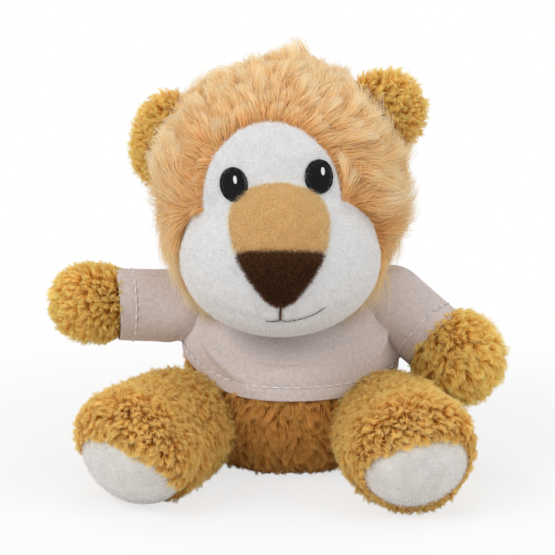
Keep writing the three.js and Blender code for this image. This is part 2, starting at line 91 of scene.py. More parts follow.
def spline(points, count):
    """Points evenly spread in parameter on a smooth curve through the given ones."""
    points = np.array(points, float)
    place = np.linspace(0, len(points) - 1, count)
    before = np.minimum(place.astype(int), len(points) - 2)
    t = (place - before)[:, None]
    p0, p1 = points[np.maximum(before - 1, 0)], points[before]
    p2, p3 = points[before + 1], points[np.minimum(before + 2, len(points) - 1)]
    v1, v2 = (p2 - p0) / 2, (p3 - p1) / 2
    return (2 * p1 - 2 * p2 + v1 + v2) * t**3 + (3 * p2 - 3 * p1 - 2 * v1 - v2) * t**2 + v1 * t + p1


def set_in(profile, inset):
    """A profile of radius and height, moved inwards by an inset."""
    along = unit(np.gradient(profile, axis=0))
    moved = profile + inset * np.stack([-along[:, 1], along[:, 0]], axis=1)
    moved[[0, -1], 0] = 0
    return np.stack([np.maximum(moved[:, 0], 0), np.clip(moved[:, 1], inset, None)], axis=1)


def turned(profile, sides, width_share=1.0, depth_share=1.0):
    """Rings of points about +Z, one for each point of the profile."""
    angle = full_turn(sides)
    ring = np.stack([np.sin(angle) * width_share, -np.cos(angle) * depth_share], axis=1)
    flat = profile[:, None, :1] * ring[None]
    height = np.broadcast_to(profile[:, None, 1:], (*flat.shape[:2], 1))
    return np.concatenate([flat, height], axis=2)


def grid_faces(rows, columns, closed=False):
    """Four-sided faces over a grid of points, which may close on itself across its columns."""
    near = np.arange(columns if closed else columns - 1)
    after = (near + 1) % columns
    row = np.arange(rows - 1)[:, None] * columns
    quads = np.stack([row + near, row + after, row + columns + after, row + columns + near], axis=2)
    return quads.reshape(-1, 4).tolist()


def skin_of(rings, closed_ends=True):
    """Points and faces of a tube through rings, with a point at each end where the ends are closed."""
    count, sides = rings.shape[:2]
    points = rings.reshape(-1, 3)
    faces = grid_faces(count, sides, closed=True)
    if closed_ends:
        last = (count - 1) * sides
        points = np.vstack([points, rings[0].mean(axis=0), rings[-1].mean(axis=0)])
        pairs = [(a, (a + 1) % sides) for a in range(sides)]
        faces += [[b, a, len(points) - 2] for a, b in pairs]
        faces += [[last + a, last + b, len(points) - 1] for a, b in pairs]
    return points, faces


def add_object(name, data):
    item = bpy.data.objects.new(name, data)
    bpy.context.scene.collection.objects.link(item)
    return item


def make_piece(name, skin, body, material, slot, *nodes, padding=None):
    """A smooth piece from points and faces. It rides on a body and replaces CAD nodes."""
    points, faces = skin
    mesh = bpy.data.meshes.new(name)
    mesh.from_pydata(points.tolist(), [], faces)
    mesh.update()
    mesh.shade_smooth()
    mesh.materials.append(material)
    piece = add_object(name, mesh)
    if body:
        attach(piece, body)
    if nodes:
        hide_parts(*nodes)
    return piece


def shouldered(points):
    """Lowers the top of the body towards the chest and the back."""
    forward = points[..., 1] / torso_half_depth
    high = np.maximum(0, points[..., 2] - shoulder_start) / (torso_height - shoulder_start)
    points[..., 2] -= chest_slope * forward**2 * high**2
    return points


def swirled(points, pitch, seed):
    """A direction at each point that wanders smoothly over space, with a given pitch."""
    ways = []
    for number in range(3):
        draw = np.random.default_rng(seed + number)
        total = 0
        for _ in range(5):
            wave = unit(draw.normal(size=3)) * 2 * np.pi / (pitch * draw.uniform(0.7, 1.5))
            total = total + np.sin(points @ wave + draw.uniform(0, 2 * np.pi))
        ways.append(total / 3)
    return np.stack(ways, axis=1)


def scattered(skin, per_mm2, seed):
    """Roots and normals spread evenly over a surface."""
    points, faces = skin
    draw = np.random.default_rng(seed)
    corners = np.array([[f[0], f[i], f[i + 1]] for f in faces for i in range(1, len(f) - 1)])
    a, b, c = (points[corners[:, i]] for i in range(3))
    cross = np.cross(b - a, c - a)
    area = np.linalg.norm(cross, axis=1) / 2
    normals = np.zeros_like(points)
    for i in range(3):
        np.add.at(normals, corners[:, i], cross)
    count = int(area.sum() / mm**2 * per_mm2)
    pick = draw.choice(len(area), count, p=area / area.sum())
    u, v = draw.random((2, count, 1))
    u, v = np.where(u + v > 1, 1 - u, u), np.where(u + v > 1, 1 - v, v)
    picked = [values[corners[pick]] for values in (points, unit(normals))]
    roots, normal = (p[:, 0] + u * (p[:, 1] - p[:, 0]) + v * (p[:, 2] - p[:, 0]) for p in picked)
    return roots, unit(normal)


def hair_paths(roots, normals, flow, length, stand, coat, draw):
    """Paths of hairs that rise from the cloth, lean into the lay and curl."""
    steps = coat["steps"]
    t = np.linspace(0, 1, steps + 1)[None, :, None]
    rise = np.radians(coat["rise"][0] + (coat["rise"][1] - coat["rise"][0]) * t)
    uneven = np.radians(coat["uneven"]) * draw.normal(size=(len(roots), 1, 1))
    rise = rise + stand[:, None, None] + uneven
    turn = np.radians(coat["stray"]) * draw.normal(size=(len(roots), 1))
    lay = flow * np.cos(turn) + np.cross(normals, flow) * np.sin(turn)
    heading = lay[:, None] * np.cos(rise) + normals[:, None] * np.sin(rise)
    heading = unit(heading + np.array([0, 0, -coat["droop"]]) * t)
    stride = heading[:, :-1] * (length[:, None, None] / steps)
    path = np.concatenate([np.zeros_like(stride[:, :1]), np.cumsum(stride, axis=1)], axis=1)
    spin = 2 * np.pi * (coat["turns"] * t + draw.random((len(roots), 1, 1)))
    across = unit(np.cross(lay, normals))[:, None]
    swing = np.sin(np.pi * np.minimum(t * 1.4, 1) / 2) * coat["curl"]
    path = path + swing * (np.cos(spin) * across + np.sin(spin) * normals[:, None])
    return roots[:, None] + path


def hair_mesh(name, ribbon, shade):
    """One mesh of ribbons, each with its own cell of the bake map and its shade values."""
    count, rows = ribbon.shape[:2]
    corners = np.arange(count * rows * 2).reshape(count, rows, 2)
    left, right = corners[..., 0], corners[..., 1]
    quads = np.stack([left[:, :-1], right[:, :-1], right[:, 1:], left[:, 1:]], axis=-1).reshape(-1, 4)
    mesh = bpy.data.meshes.new(name)
    mesh.vertices.add(count * rows * 2)
    mesh.vertices.foreach_set("co", ribbon.reshape(-1).astype(np.float32))
    mesh.loops.add(quads.size)
    mesh.loops.foreach_set("vertex_index", quads.reshape(-1).astype(np.int32))
    mesh.polygons.add(len(quads))
    mesh.polygons.foreach_set("loop_start", np.arange(0, quads.size, 4, dtype=np.int32))
    mesh.update(calc_edges=True)
    mesh.shade_smooth()
    values = mesh.color_attributes.new("shade", "FLOAT_COLOR", "POINT")
    values.data.foreach_set("color", shade.reshape(-1))
    cells = int(np.ceil(np.sqrt(count)))
    cell = np.stack([np.arange(count) % cells, np.arange(count) // cells], axis=1) / cells
    within = np.broadcast_arrays(np.array([[0.1, 0.9]]), np.linspace(0.1, 0.9, rows)[:, None])
    place = (cell[:, None, None] + np.stack(within, axis=2) / cells).reshape(-1, 2)
    bake_map = mesh.uv_layers.new(name="OFBake")
    bake_map.data.foreach_set("uv", place[quads.reshape(-1)].reshape(-1).astype(np.float32))
    mesh.validate()
    return add_object(name, mesh)


def grow_coat(name, body, planted, flow, coat, material, seed, order=None, floor=0.2 * mm):
    """Mesh hairs in locks over a surface, split into pieces of a size that can be exported."""
    roots, normals = planted
    draw = np.random.default_rng(seed)
    steps = coat["steps"]
    flow = unit(flow - (flow * normals).sum(axis=-1, keepdims=True) * normals)
    count = len(roots)
    length = coat["length"] * (1 + coat["ragged"] * draw.normal(size=count)).clip(0.45, 1.7)
    length = length * coat.get("short", 1.0)
    stand = np.radians(coat.get("stand", 0.0)) + np.zeros(count)
    # each lock has a middle hair, towards which its neighbours lean
    lock_count = max(4, int(count / coat["per_lock"]))
    middles = draw.choice(count, lock_count, replace=False)
    tree = kdtree.KDTree(lock_count)
    for i, at in enumerate(roots[middles]):
        tree.insert(at, i)
    tree.balance()
    lock = np.array([tree.find(at)[1] for at in roots])
    of_middles = [values[middles] for values in (roots, normals, flow, length, stand)]
    guides = hair_paths(*of_middles, coat, draw)
    own = hair_paths(roots, normals, flow, length, stand, dict(coat, curl=coat["curl"] * 0.5), draw)
    t = np.linspace(0, 1, steps + 1)[None, :, None]
    pull = coat["pull"] * t ** coat["pull_power"]
    apart = (roots - roots[middles][lock])[:, None]
    gathered = guides[lock] + apart * (1 - 0.85 * t)
    paths = own * (1 - pull) + gathered * pull
    paths[..., 2] = np.maximum(paths[..., 2], floor)
    paths[:, 0] = roots - normals * root_depth
    facing = normals[:, None] + 0.45 * draw.normal(size=(count, 1, 3))
    side = unit(np.cross(unit(np.gradient(paths, axis=1)), facing))
    width = coat["width"] * (1 - 0.85 * t**1.6) * (0.7 + 0.6 * draw.random((count, 1, 1)))
    ribbon = np.stack([paths - side * width / 2, paths + side * width / 2], axis=2)
    shade = np.empty((count, steps + 1, 2, 4), np.float32)
    shade[..., 0] = t
    shade[..., 1] = draw.random(count)[:, None, None]
    shade[..., 2] = draw.random(lock_count)[lock][:, None, None]
    shade[..., 3] = 1
    order = np.argsort(order if order is not None else roots[:, 2], kind="stable")
    parts = int(np.ceil(count * steps * 2 / most_triangles))
    for number, chosen in enumerate(np.array_split(order, parts)):
        piece = hair_mesh(f"{name}_{number + 1}", ribbon[chosen], shade[chosen])
        piece.data.materials.append(material)
        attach(piece, body)


def set_inputs(tree, node, inputs):
    """Sets a node's inputs, or links them to other nodes' outputs, by name or number."""
    for key, value in inputs.items():
        if isinstance(value, bpy.types.NodeSocket):
            tree.links.new(value, node.inputs[key])
        else:
            node.inputs[key].default_value = value


def add_node(tree, kind, inputs, **settings):
    node = tree.nodes.new(f"ShaderNode{kind}")
    for key, value in settings.items():
        setattr(node, key, value)
    set_inputs(tree, node, inputs)
    return node


def calculated(tree, operation, *values):
    return add_node(tree, "Math", dict(enumerate(values)), operation=operation).outputs[0]


def spread_out(tree, value, low, high, **settings):
    """A value's share of the way from low to high."""
    return add_node(tree, "MapRange", {0: value, 1: low, 2: high}, **settings).outputs[0]


def blended(tree, share, first, second):
    return add_node(tree, "Mix", {0: share, 6: first, 7: second}, data_type="RGBA").outputs[2]


def noise(tree, place, scale, detail):
    return add_node(tree, "TexNoise", {0: place, 2: scale, 3: detail}).outputs[0]


def bumped(tree, height, strength, distance, **more):
    inputs = {"Height": height, "Strength": strength, "Distance": distance, **more}
    return add_node(tree, "Bump", inputs).outputs[0]


def node_group(name, inputs, outputs):
    """A group with named inputs, given with their usual values, and named outputs of a kind."""
    group = bpy.data.node_groups.new(name, "ShaderNodeTree")
    for label, value in inputs.items():
        kind = "NodeSocketColor" if isinstance(value, tuple) else "NodeSocketFloat"
        group.interface.new_socket(label, in_out="INPUT", socket_type=kind).default_value = value
    for label, kind in outputs.items():
        group.interface.new_socket(label, in_out="OUTPUT", socket_type=kind)
    given = group.nodes.new("NodeGroupInput")
    return group, given.outputs, group.nodes.new("NodeGroupOutput")


def new_material(name, rough, specular, sheen=0.0):
    material = bpy.data.materials.new(name)
    material.use_nodes = True
    tree = material.node_tree
    shader = tree.nodes["Principled BSDF"]
    finish = {"Roughness": rough, "Specular IOR Level": specular, "Sheen Weight": sheen}
    set_inputs(tree, shader, finish)
    return material, tree, shader


# Pile colour: darker at a hair's root, paler at its tip, and a little different in each lock
pile_tint, given, made = node_group(
    "pile_tint",
    {"Root": (0, 0, 0, 1), "Middle": (0, 0, 0, 1), "Tip": (1, 1, 1, 1), "Variation": 0.3},
    {"Color": "NodeSocketColor"},
)
shade_values = add_node(pile_tint, "VertexColor", {}, layer_name="shade").outputs["Color"]
along_hair, own_shade, lock_shade = add_node(pile_tint, "SeparateColor", {0: shade_values}).outputs
low = spread_out(pile_tint, along_hair, low=0.0, high=0.45, interpolation_type="SMOOTHSTEP")
lower = blended(pile_tint, low, given["Root"], given["Middle"])
high = spread_out(pile_tint, along_hair, low=0.4, high=1.0)
upper = blended(pile_tint, high, lower, given["Tip"])
both_shades = calculated(pile_tint, "ADD", own_shade, lock_shade)
centred = calculated(pile_tint, "SUBTRACT", both_shades, 1.0)
gain = calculated(pile_tint, "MULTIPLY_ADD", centred, given["Variation"], 1.0)
tinted = add_node(pile_tint, "VectorMath", {0: upper, 3: gain}, operation="SCALE")
set_inputs(pile_tint, made, {"Color": tinted.outputs[0]})


def pile_material(name, root, middle, tip, variation, sheen):
    """Hair of a plush: matt and lit through, with a soft sheen."""
    material, tree, shader = new_material(name, rough=0.85, specular=0.2, sheen=sheen)
    values = {"Root": tone(*root), "Middle": tone(*middle), "Tip": tone(*tip), "Variation": variation}
    colour = add_node(tree, "Group", values, node_tree=pile_tint).outputs["Color"]
    set_inputs(tree, shader, {"Base Color": colour, "Sheen Roughness": 0.5, "Sheen Tint": tone(*tip)})
    through = add_node(tree, "BsdfTranslucent", {"Color": colour})
    both = add_node(tree, "MixShader", {0: 0.5, 1: shader.outputs[0], 2: through.outputs[0]})
    set_inputs(tree, tree.nodes["Material Output"], {"Surface": both.outputs[0]})
    return material


# Backing cloth and velvet: an uneven matt colour with a fine fibrous bump
cloth_speckle, given, made = node_group(
    "cloth_speckle",
    {"Light": (1, 1, 1, 1), "Dark": (0, 0, 0, 1), "Scale": 900.0, "Patch Scale": 90.0, "Bump": 0.2},
    {"Color": "NodeSocketColor", "Normal": "NodeSocketVector"},
)
place = add_node(cloth_speckle, "TexCoord", {}).outputs["Object"]
fine = noise(cloth_speckle, place, scale=given["Scale"], detail=3.0)
wide = noise(cloth_speckle, place, scale=given["Patch Scale"], detail=2.0)
fine_share = calculated(cloth_speckle, "MULTIPLY", fine, 0.55)
mask = calculated(cloth_speckle, "MULTIPLY_ADD", wide, 0.45, fine_share)
light_share = spread_out(cloth_speckle, mask, low=0.32, high=0.62)
shown = blended(cloth_speckle, light_share, given["Dark"], given["Light"])
raised = bumped(cloth_speckle, fine, strength=given["Bump"], distance=0.4 * mm)
set_inputs(cloth_speckle, made, {"Color": shown, "Normal": raised})


def cloth_material(name, light, dark, scale=900, patch=90, bump=0.3, sheen=0.3, rough=0.9):
    material, tree, shader = new_material(name, rough, specular=0.2, sheen=sheen)
    values = {"Light": tone(*light), "Dark": tone(*dark), "Scale": scale, "Patch Scale": patch, "Bump": bump}
    cloth = add_node(tree, "Group", values, node_tree=cloth_speckle).outputs
    looks = {"Base Color": cloth["Color"], "Normal": cloth["Normal"], "Sheen Tint": tone(*light)}
    set_inputs(tree, shader, looks)
    return material


golden_backing = cloth_material("golden_backing", (214, 152, 74), (184, 122, 48))
golden_curl = pile_material(
    "golden_curl", (198, 126, 42), (249, 203, 106), (255, 241, 170), variation=0.12, sheen=0.35
)
# the belly's and neck's pile: darker than the curly pile, partly for the brushed nap and partly painted
# shade under the head
golden_nap = pile_material(
    "golden_nap", (200, 126, 44), (232, 174, 86), (244, 208, 130), variation=0.12, sheen=0.2
)
curly = {
    "length": 5.4 * mm, "width": 0.22 * mm, "steps": 5, "rise": (78, -10), "uneven": 10, "stray": 30,
    "droop": 0.1, "curl": 0.65 * mm, "turns": 1.3, "per_lock": 22, "pull": 0.66, "pull_power": 0.8,
    "ragged": 0.13, "per_mm2": 11,
}
brushed = dict(
    curly, length=5.6 * mm, steps=4, rise=(68, 4), stray=28, curl=0.5 * mm, turns=1.0, droop=0.25, pull=0.72
)


def hem_height(around):
    """Height of the shirt's hem, by the angle from straight ahead towards the lion's left."""
    side = np.where(np.sin(around) > 0, hem_left_side, hem_right_side)
    end = np.where(np.cos(around) > 0, hem_front, hem_back)
    return end + (side - end) * np.abs(np.sin(around)) ** np.where(np.cos(around) > 0, 4, 2)


outline = np.array(torso_shares + dip_shares) * [torso_half_width, torso_height]
profile = set_in(spline(outline, torso_steps), curly_backing)
rings = turned(profile[1:-1], torso_sides, 1, torso_half_depth / torso_half_width)
torso_skin = skin_of(shouldered(rings) + [torso_x, 0, -seat_flat])
make_piece("torso_plush", torso_skin, "torso", golden_backing, "golden_plush", "torso_skin", "torso_filling",
           padding=0.75)

roots, normals = scattered(torso_skin, brushed["per_mm2"], seed=11)
around = np.arctan2(roots[:, 0] - torso_x, -roots[:, 1])
shows = (roots[:, 2] < hem_height(around) + under_hem) & (roots[:, 2] > seat_bare)
roots, normals, around = roots[shows], normals[shows], around[shows]
down = np.array([0.0, 0.0, -0.8]) + 0.55 * swirled(roots, brushed_swirl, seed=3)
# the belly's pile is coloured darker, partly for its brushed nap and partly as painted shade under the head,
# and the two kinds mingle towards the sides
to_back = np.clip((roots[:, 1] - back_fur_start) / back_fur_blend, 0, 1)
behind = np.random.default_rng(15).random(len(roots)) < to_back
for name, where, pile, seed in (("belly", ~behind, golden_nap, 12), ("back", behind, golden_curl, 14)):
    grow_coat(f"{name}_fur", "torso", (roots[where], normals[where]), down[where], brushed,
              pile, seed, order=around[where])

# Legs
# Two stuffed legs that point forward, each a short thigh and a round foot of curly plush.
# A flat sole of short white pile is let into the end of each foot, and the pile overhangs its edge.
leg_near = 19 * mm
leg_far = 20.5 * mm
leg_length = 33 * mm
leg_width_share = 1.06
leg_rest = 1.6 * mm
leg_bare = 2.4 * mm
sole_share = 0.8
sole_half = (17.8 * mm, 12.8 * mm)
sole_depth = 1.6 * mm
sole_sunk_edge = 0.9 * mm
sole_clear = 0.94
hip_overlap = 4 * mm
leg_sides = 72
tuft_swirl = 6 * mm
nap_swirl = 14 * mm
legs = {
    "right": {
        "at": (-37 * mm, -24 * mm, 18.5 * mm), "yaw": -21, "tilt": 24, "roll": -20,
        "sole_at": (-1.5 * mm, -5.4 * mm), "clipped_out": 0.5,
        "edge": [1.04, 1, 0.96, 0.95, 0.98, 1.06, 1.08, 1.04, 1.02, 1, 1, 1.02, 1.04, 1.06, 1.08, 1.1],
    },
    "left": {
        "at": (37 * mm, -27 * mm, 18.5 * mm), "yaw": 9, "tilt": 8, "roll": 10,
        "sole_at": (0.2 * mm, -3.4 * mm), "clipped_out": -0.1,
        "edge": [1.04, 1.08, 1.13, 1, 0.93, 0.93, 0.96, 1, 1.05, 1.05, 1.04, 1.05, 1.02, 0.97, 0.95, 0.99],
    },
}
tufted = {
    "length": 4.9 * mm, "width": 0.21 * mm, "steps": 4, "rise": (80, 22), "uneven": 10, "stray": 38,
    "droop": 0.1, "curl": 0.6 * mm, "turns": 1.2, "per_lock": 22, "pull": 0.74, "pull_power": 1.0,
    "ragged": 0.12, "per_mm2": 14,
}
nap = {
    "length": 1.1 * mm, "width": 0.13 * mm, "steps": 1, "rise": (52, 52), "uneven": 12, "stray": 26,
    "droop": 0.1, "curl": 0.0, "turns": 0.0, "per_lock": 9, "pull": 0.4, "pull_power": 1.0,
    "ragged": 0.2, "per_mm2": 11,
}
sole_white = cloth_material(
    "sole_white", (234, 231, 227), (210, 206, 201), scale=1500, patch=160, bump=0.5, sheen=0.5
)
white_nap = pile_material(
    "white_nap", (232, 230, 229), (245, 244, 243), (250, 250, 249), variation=0.05, sheen=0.25
)


def limb_profile(near, far, length, inset=0.0, end_share=1.0, steps=22):
    """Two balls a length apart and the cone that wraps them, with a flattened far end."""
    lean = -np.arcsin((far - near) / length)
    first = np.linspace(-np.pi / 2, lean, steps)
    second = np.linspace(lean, np.pi / 2, steps)
    start = np.stack([(near - inset) * np.cos(first), (near - inset) * np.sin(first)], axis=1)
    reach = np.where(np.sin(second) > 0, far * end_share - inset, far - inset)
    end = np.stack([(far - inset) * np.cos(second), length + reach * np.sin(second)], axis=1)
    return np.vstack([start, end])


def limb_matrix(at, yaw, pitch):
    """Lays a limb's own +Z along its yaw from straight ahead and its pitch below level."""
    turn = Matrix.Rotation(np.radians(yaw), 4, "Z") @ Matrix.Rotation(np.pi / 2 + np.radians(pitch), 4, "X")
    return np.array(Matrix.Translation(at) @ turn)


def placed(matrix, points):
    return points @ matrix[:3, :3].T + matrix[:3, 3]


def brought_back(matrix, points):
    """Points in a limb's own frame again."""
    return placed(np.array(Matrix(matrix.tolist()).inverted()), points)


def slanted(points, leg):
    """Slopes the end of a foot, so that its sole faces down and outwards."""
    reach = np.maximum(0, points[..., 2] / (leg_length + leg_far))
    slope_up = np.tan(np.radians(leg["tilt"]))
    slope_out = np.tan(np.radians(leg["roll"]))
    points[..., 2] += reach**2 * (slope_up * points[..., 1] - slope_out * points[..., 0])
    return points


def sole_edge(leg, angle):
    """How far the sole's outline reaches past its oval, by the angle in the foot's own frame."""
    shares = leg["edge"]
    marks = np.linspace(0, 2 * np.pi, len(shares) + 1)
    return np.interp(np.mod(angle, 2 * np.pi), marks, [*shares, shares[0]])


def sole_rings(leg, rows=22, sides=96):
    """The sole from its edge inwards, on the end of the foot."""
    share = np.linspace(1.0, 0.02, rows)[:, None]
    angle = full_turn(sides)[None, :]
    out = share * (1 + (sole_edge(leg, angle) - 1) * share)
    x = leg["sole_at"][0] + out * sole_half[0] * np.cos(angle)
    y = leg["sole_at"][1] + out * sole_half[1] * np.sin(angle)
    from_axis = np.hypot(x / leg_width_share, y) / (leg_far - curly_backing)
    depth = leg_far * sole_share - curly_backing
    height = leg_length + depth * np.sqrt(np.maximum(0.02, 1 - from_axis**2))
    points = slanted(np.stack([x, y, height], axis=2), leg)
    points[..., 2] += sole_depth * (1 - share**6) - sole_sunk_edge * share**12
    return points


def grow_nap(piece, body, flow, material, slot, seed, **changes):
    """Short velvety pile all over a piece."""
    points = np.array([vertex.co[:] for vertex in piece.data.vertices])
    faces = [list(polygon.vertices) for polygon in piece.data.polygons]
    coat = dict(nap, **changes)
    planted = scattered((points, faces), coat["per_mm2"], seed)
    flow = np.array(flow) + 0.4 * swirled(planted[0], nap_swirl, seed + 1)
    grow_coat(piece.name.replace("velvet", "nap"), body, planted, flow, coat, material, seed)


level = -np.degrees(np.arcsin((leg_far - leg_near) / leg_length))
for number, (side, leg) in enumerate(legs.items()):
    matrix = limb_matrix(leg["at"], leg["yaw"], level)
    profile = limb_profile(leg_near, leg_far, leg_length, curly_backing, sole_share)[1:-1]
    rings = placed(matrix, slanted(turned(profile, leg_sides, leg_width_share), leg))
    rings[..., 2] = np.maximum(rings[..., 2], leg_rest)
    skin = skin_of(rings)
    make_piece(f"leg_{side}_plush", skin, f"leg_{side}", golden_backing, "golden_plush",
               f"leg_{side}_skin", f"leg_{side}_filling", padding=0.8)
    sole = make_piece(f"sole_{side}_velvet", skin_of(placed(matrix, sole_rings(leg))), f"leg_{side}",
                      sole_white, "white_plush", f"sole_{side}")
    grow_nap(sole, f"leg_{side}", (0, 0, 1.0), white_nap, "white_plush",
             seed=151 + 10 * number, per_mm2=9)

    roots, normals = scattered(skin, tufted["per_mm2"], seed=21 + number)
    local = brought_back(matrix, roots)
    out_x, out_y = ((local[:, i] - leg["sole_at"][i]) / sole_half[i] for i in range(2))
    sole_reach = np.hypot(out_x, out_y) / sole_edge(leg, np.arctan2(out_y, out_x))
    on_sole = (sole_reach < sole_clear) & (local[:, 2] > leg_length * 0.9)
    body_x = (roots[:, 0] - torso_x) / (torso_half_width - hip_overlap)
    in_body = np.hypot(body_x, roots[:, 1] / (torso_half_depth - hip_overlap)) < 1
    shows = ~on_sole & ~in_body & (roots[:, 2] > leg_bare)
    roots, normals, local = roots[shows], normals[shows], local[shows]
    near_sole = np.clip(1 - (sole_reach[shows] - sole_clear) / 0.3, 0, 1) * (local[:, 2] > leg_length * 0.7)
    # the pile is clipped close where the sole's lower edge is the foot's outline
    outer = np.where(out_x[shows] < 0, 1, -0.6)
    clipped = np.clip(-out_y[shows] * 1.6 + leg["clipped_out"] * outer, 0, 1)
    coat = dict(tufted, short=1 - near_sole * (0.3 + 0.42 * clipped), stand=-30 * near_sole)
    near = near_sole[:, None]
    flow = matrix[:3, 2] * 0.8 + np.array([0, 0, -0.55])
    flow = flow + (0.45 - 0.3 * near) * swirled(roots, tuft_swirl, seed=31) + 1.5 * near * matrix[:3, 2]
    grow_coat(f"leg_{side}_fur", f"leg_{side}", (roots, normals), flow, coat, golden_curl,
              seed=24 + number, order=np.arctan2(local[:, 1], local[:, 0]))

# Tail
# A thin tube of short curly plush that lies behind the seat, with a tuft of mane pile at its end.
# It isn't in the photograph and follows what such toys have.
tail_radius = 4.6 * mm
tail_length = 36 * mm
tail_root = (2 * mm, 29.3 * mm, 4.1 * mm)
tail_backing = 1.6 * mm
tuft_radius = 8 * mm
tuft_length = 24 * mm
tuft_core_half = (4.2 * mm, 8 * mm)
tuft_start = 8 * mm
tail_sides = 32
mane_long = pile_material(
    "mane_long", (240, 194, 126), (252, 222, 166), (255, 250, 230), variation=0.08, sheen=0.35
)
short_curl = dict(curly, length=3.6 * mm, curl=0.5 * mm, per_lock=12, per_mm2=6)
tuft_coat = {
    "length": 10 * mm, "width": 0.4 * mm, "steps": 5, "rise": (40, -8), "uneven": 9, "stray": 14,
    "droop": 0.1, "curl": 0.4 * mm, "turns": 0.5, "per_lock": 20, "pull": 0.8, "pull_power": 1.0,
    "ragged": 0.16, "per_mm2": 9,
}


def oval_profile(radius, half_length, steps):
    swell = np.linspace(-np.pi / 2, np.pi / 2, steps)[1:-1]
    return np.stack([radius * np.cos(swell), half_length * np.sin(swell)], axis=1)


def planted_where(skin, coat, seed, shown):
    """A coat's roots and normals over a surface, kept where the roots are shown."""
    roots, normals = scattered(skin, coat["per_mm2"], seed)
    shows = shown(roots)
    return roots[shows], normals[shows]


profile = limb_profile(tail_radius, tail_radius, tail_length, tail_backing, steps=14)[1:-1]
skin = skin_of(placed(limb_matrix(tail_root, 180, 0), turned(profile, tail_sides)))
make_piece("tail_plush", skin, "tail", golden_backing, "golden_plush", "tail", padding=0.5)
tail_end = tail_root[1] + tail_length
out_of_seat = tail_root[1] + 1 * mm
planted = planted_where(skin, short_curl, 41, lambda at: (at[:, 1] > out_of_seat) & (at[:, 1] < tail_end))
flow = np.array([[0, 1.0, -0.2]])
grow_coat("tail_fur", "tail", planted, flow, short_curl, golden_curl, seed=42)

tuft_middle = (torso_x, tail_end + tuft_length / 2 - tail_radius, tuft_radius - seat_flat)
rings = turned(oval_profile(*tuft_core_half, steps=20), tail_sides)
skin = skin_of(placed(limb_matrix(tuft_middle, 180, 0), rings))
make_piece("tail_tuft_core", skin, "tail", golden_backing, "mane_plush", "tail_tuft", padding=0.4)
planted = planted_where(skin, tuft_coat, 43, lambda at: at[:, 1] > tail_end - tuft_start)
flow = np.array([[0, 1.0, 0]])
grow_coat("tail_tuft_fur", "tail", planted, flow, tuft_coat, mane_long, seed=44)

# Arms
# Each arm is a tube of stuffed plush, hidden by the sleeve as far as the cuff.
# There a round paw of curly pile swells out.
shoulder_radius = 11.2 * mm
arm_length = 32 * mm
cuff_at = 21 * mm
cuff_cover = 1 * mm
paw_swell = 3 * mm
paw_pile_share = 0.88
paw_bare = 0.5 * mm
paw_fur_ease = 4 * mm
arm_sides = 56
# the paw's neck: how far it stands out from the sleeve's tight cloth, and where along the arm
paw_neck = np.array([[0, -2], [0.6, 0], [1.6, 1.5]]) * mm
paw_neck_span = (-3 * mm, 2.5 * mm)
arms = {
    "right": {
        "at": (-35.5 * mm, -1 * mm, 54.5 * mm), "yaw": -80, "pitch": -6, "paw": 13.2 * mm, "pile": 5.0 * mm,
    },
    "left": {
        "at": (36 * mm, -1 * mm, 57 * mm), "yaw": 60, "pitch": 31, "paw": 14.6 * mm, "pile": 6.8 * mm,
    },
}
# a lighter copy of the curly pile for the paws and ears: painted light, where the light falls brighter on
# them
golden_painted_light = pile_material(
    "golden_painted_light", (218, 142, 50), (255, 214, 112), (255, 246, 172), variation=0.12, sheen=0.35
)
for number, (side, arm) in enumerate(arms.items()):
    arm["matrix"] = limb_matrix(arm["at"], arm["yaw"], arm["pitch"])
    profile = limb_profile(shoulder_radius, arm["paw"], arm_length, curly_backing)[1:-1]
    tight = shoulder_radius - curly_backing
    squeezed = np.clip((profile[:, 1] - cuff_at + cuff_cover) / paw_swell, 0, 1)
    profile[:, 0] = np.minimum(profile[:, 0], tight + squeezed * arm["paw"])
    before = profile[profile[:, 1] < cuff_at + paw_neck_span[0]]
    after = profile[profile[:, 1] > cuff_at + paw_neck_span[1]]
    profile = np.vstack([before, paw_neck + [tight, cuff_at], after])
    skin = skin_of(placed(arm["matrix"], turned(profile, arm_sides)))
    make_piece(f"arm_{side}_plush", skin, f"arm_{side}", golden_backing, "golden_plush",
               f"arm_{side}_skin", f"arm_{side}_filling", padding=0.75)
    planted = planted_where(
        skin, tufted, 51 + number, lambda at: brought_back(arm["matrix"], at)[:, 2] > cuff_at + paw_bare
    )
    local = brought_back(arm["matrix"], planted[0])
    flow = arm["matrix"][:3, 2] * 0.9 + np.array([0, 0, -0.45])
    flow = flow + 0.5 * swirled(planted[0], tuft_swirl, seed=61 + 3 * number)
    from_cuff = np.clip((local[:, 2] - cuff_at) / paw_fur_ease, 0, 1)
    coat = dict(tufted, length=paw_pile_share * arm["pile"], short=0.6 + 0.4 * from_cuff)
    # the paw's pile takes the lighter copy, with its painted light
    grow_coat(f"arm_{side}_fur", f"arm_{side}", planted, flow, coat, golden_painted_light,
              seed=54 + number, order=np.arctan2(local[:, 1], local[:, 0]))

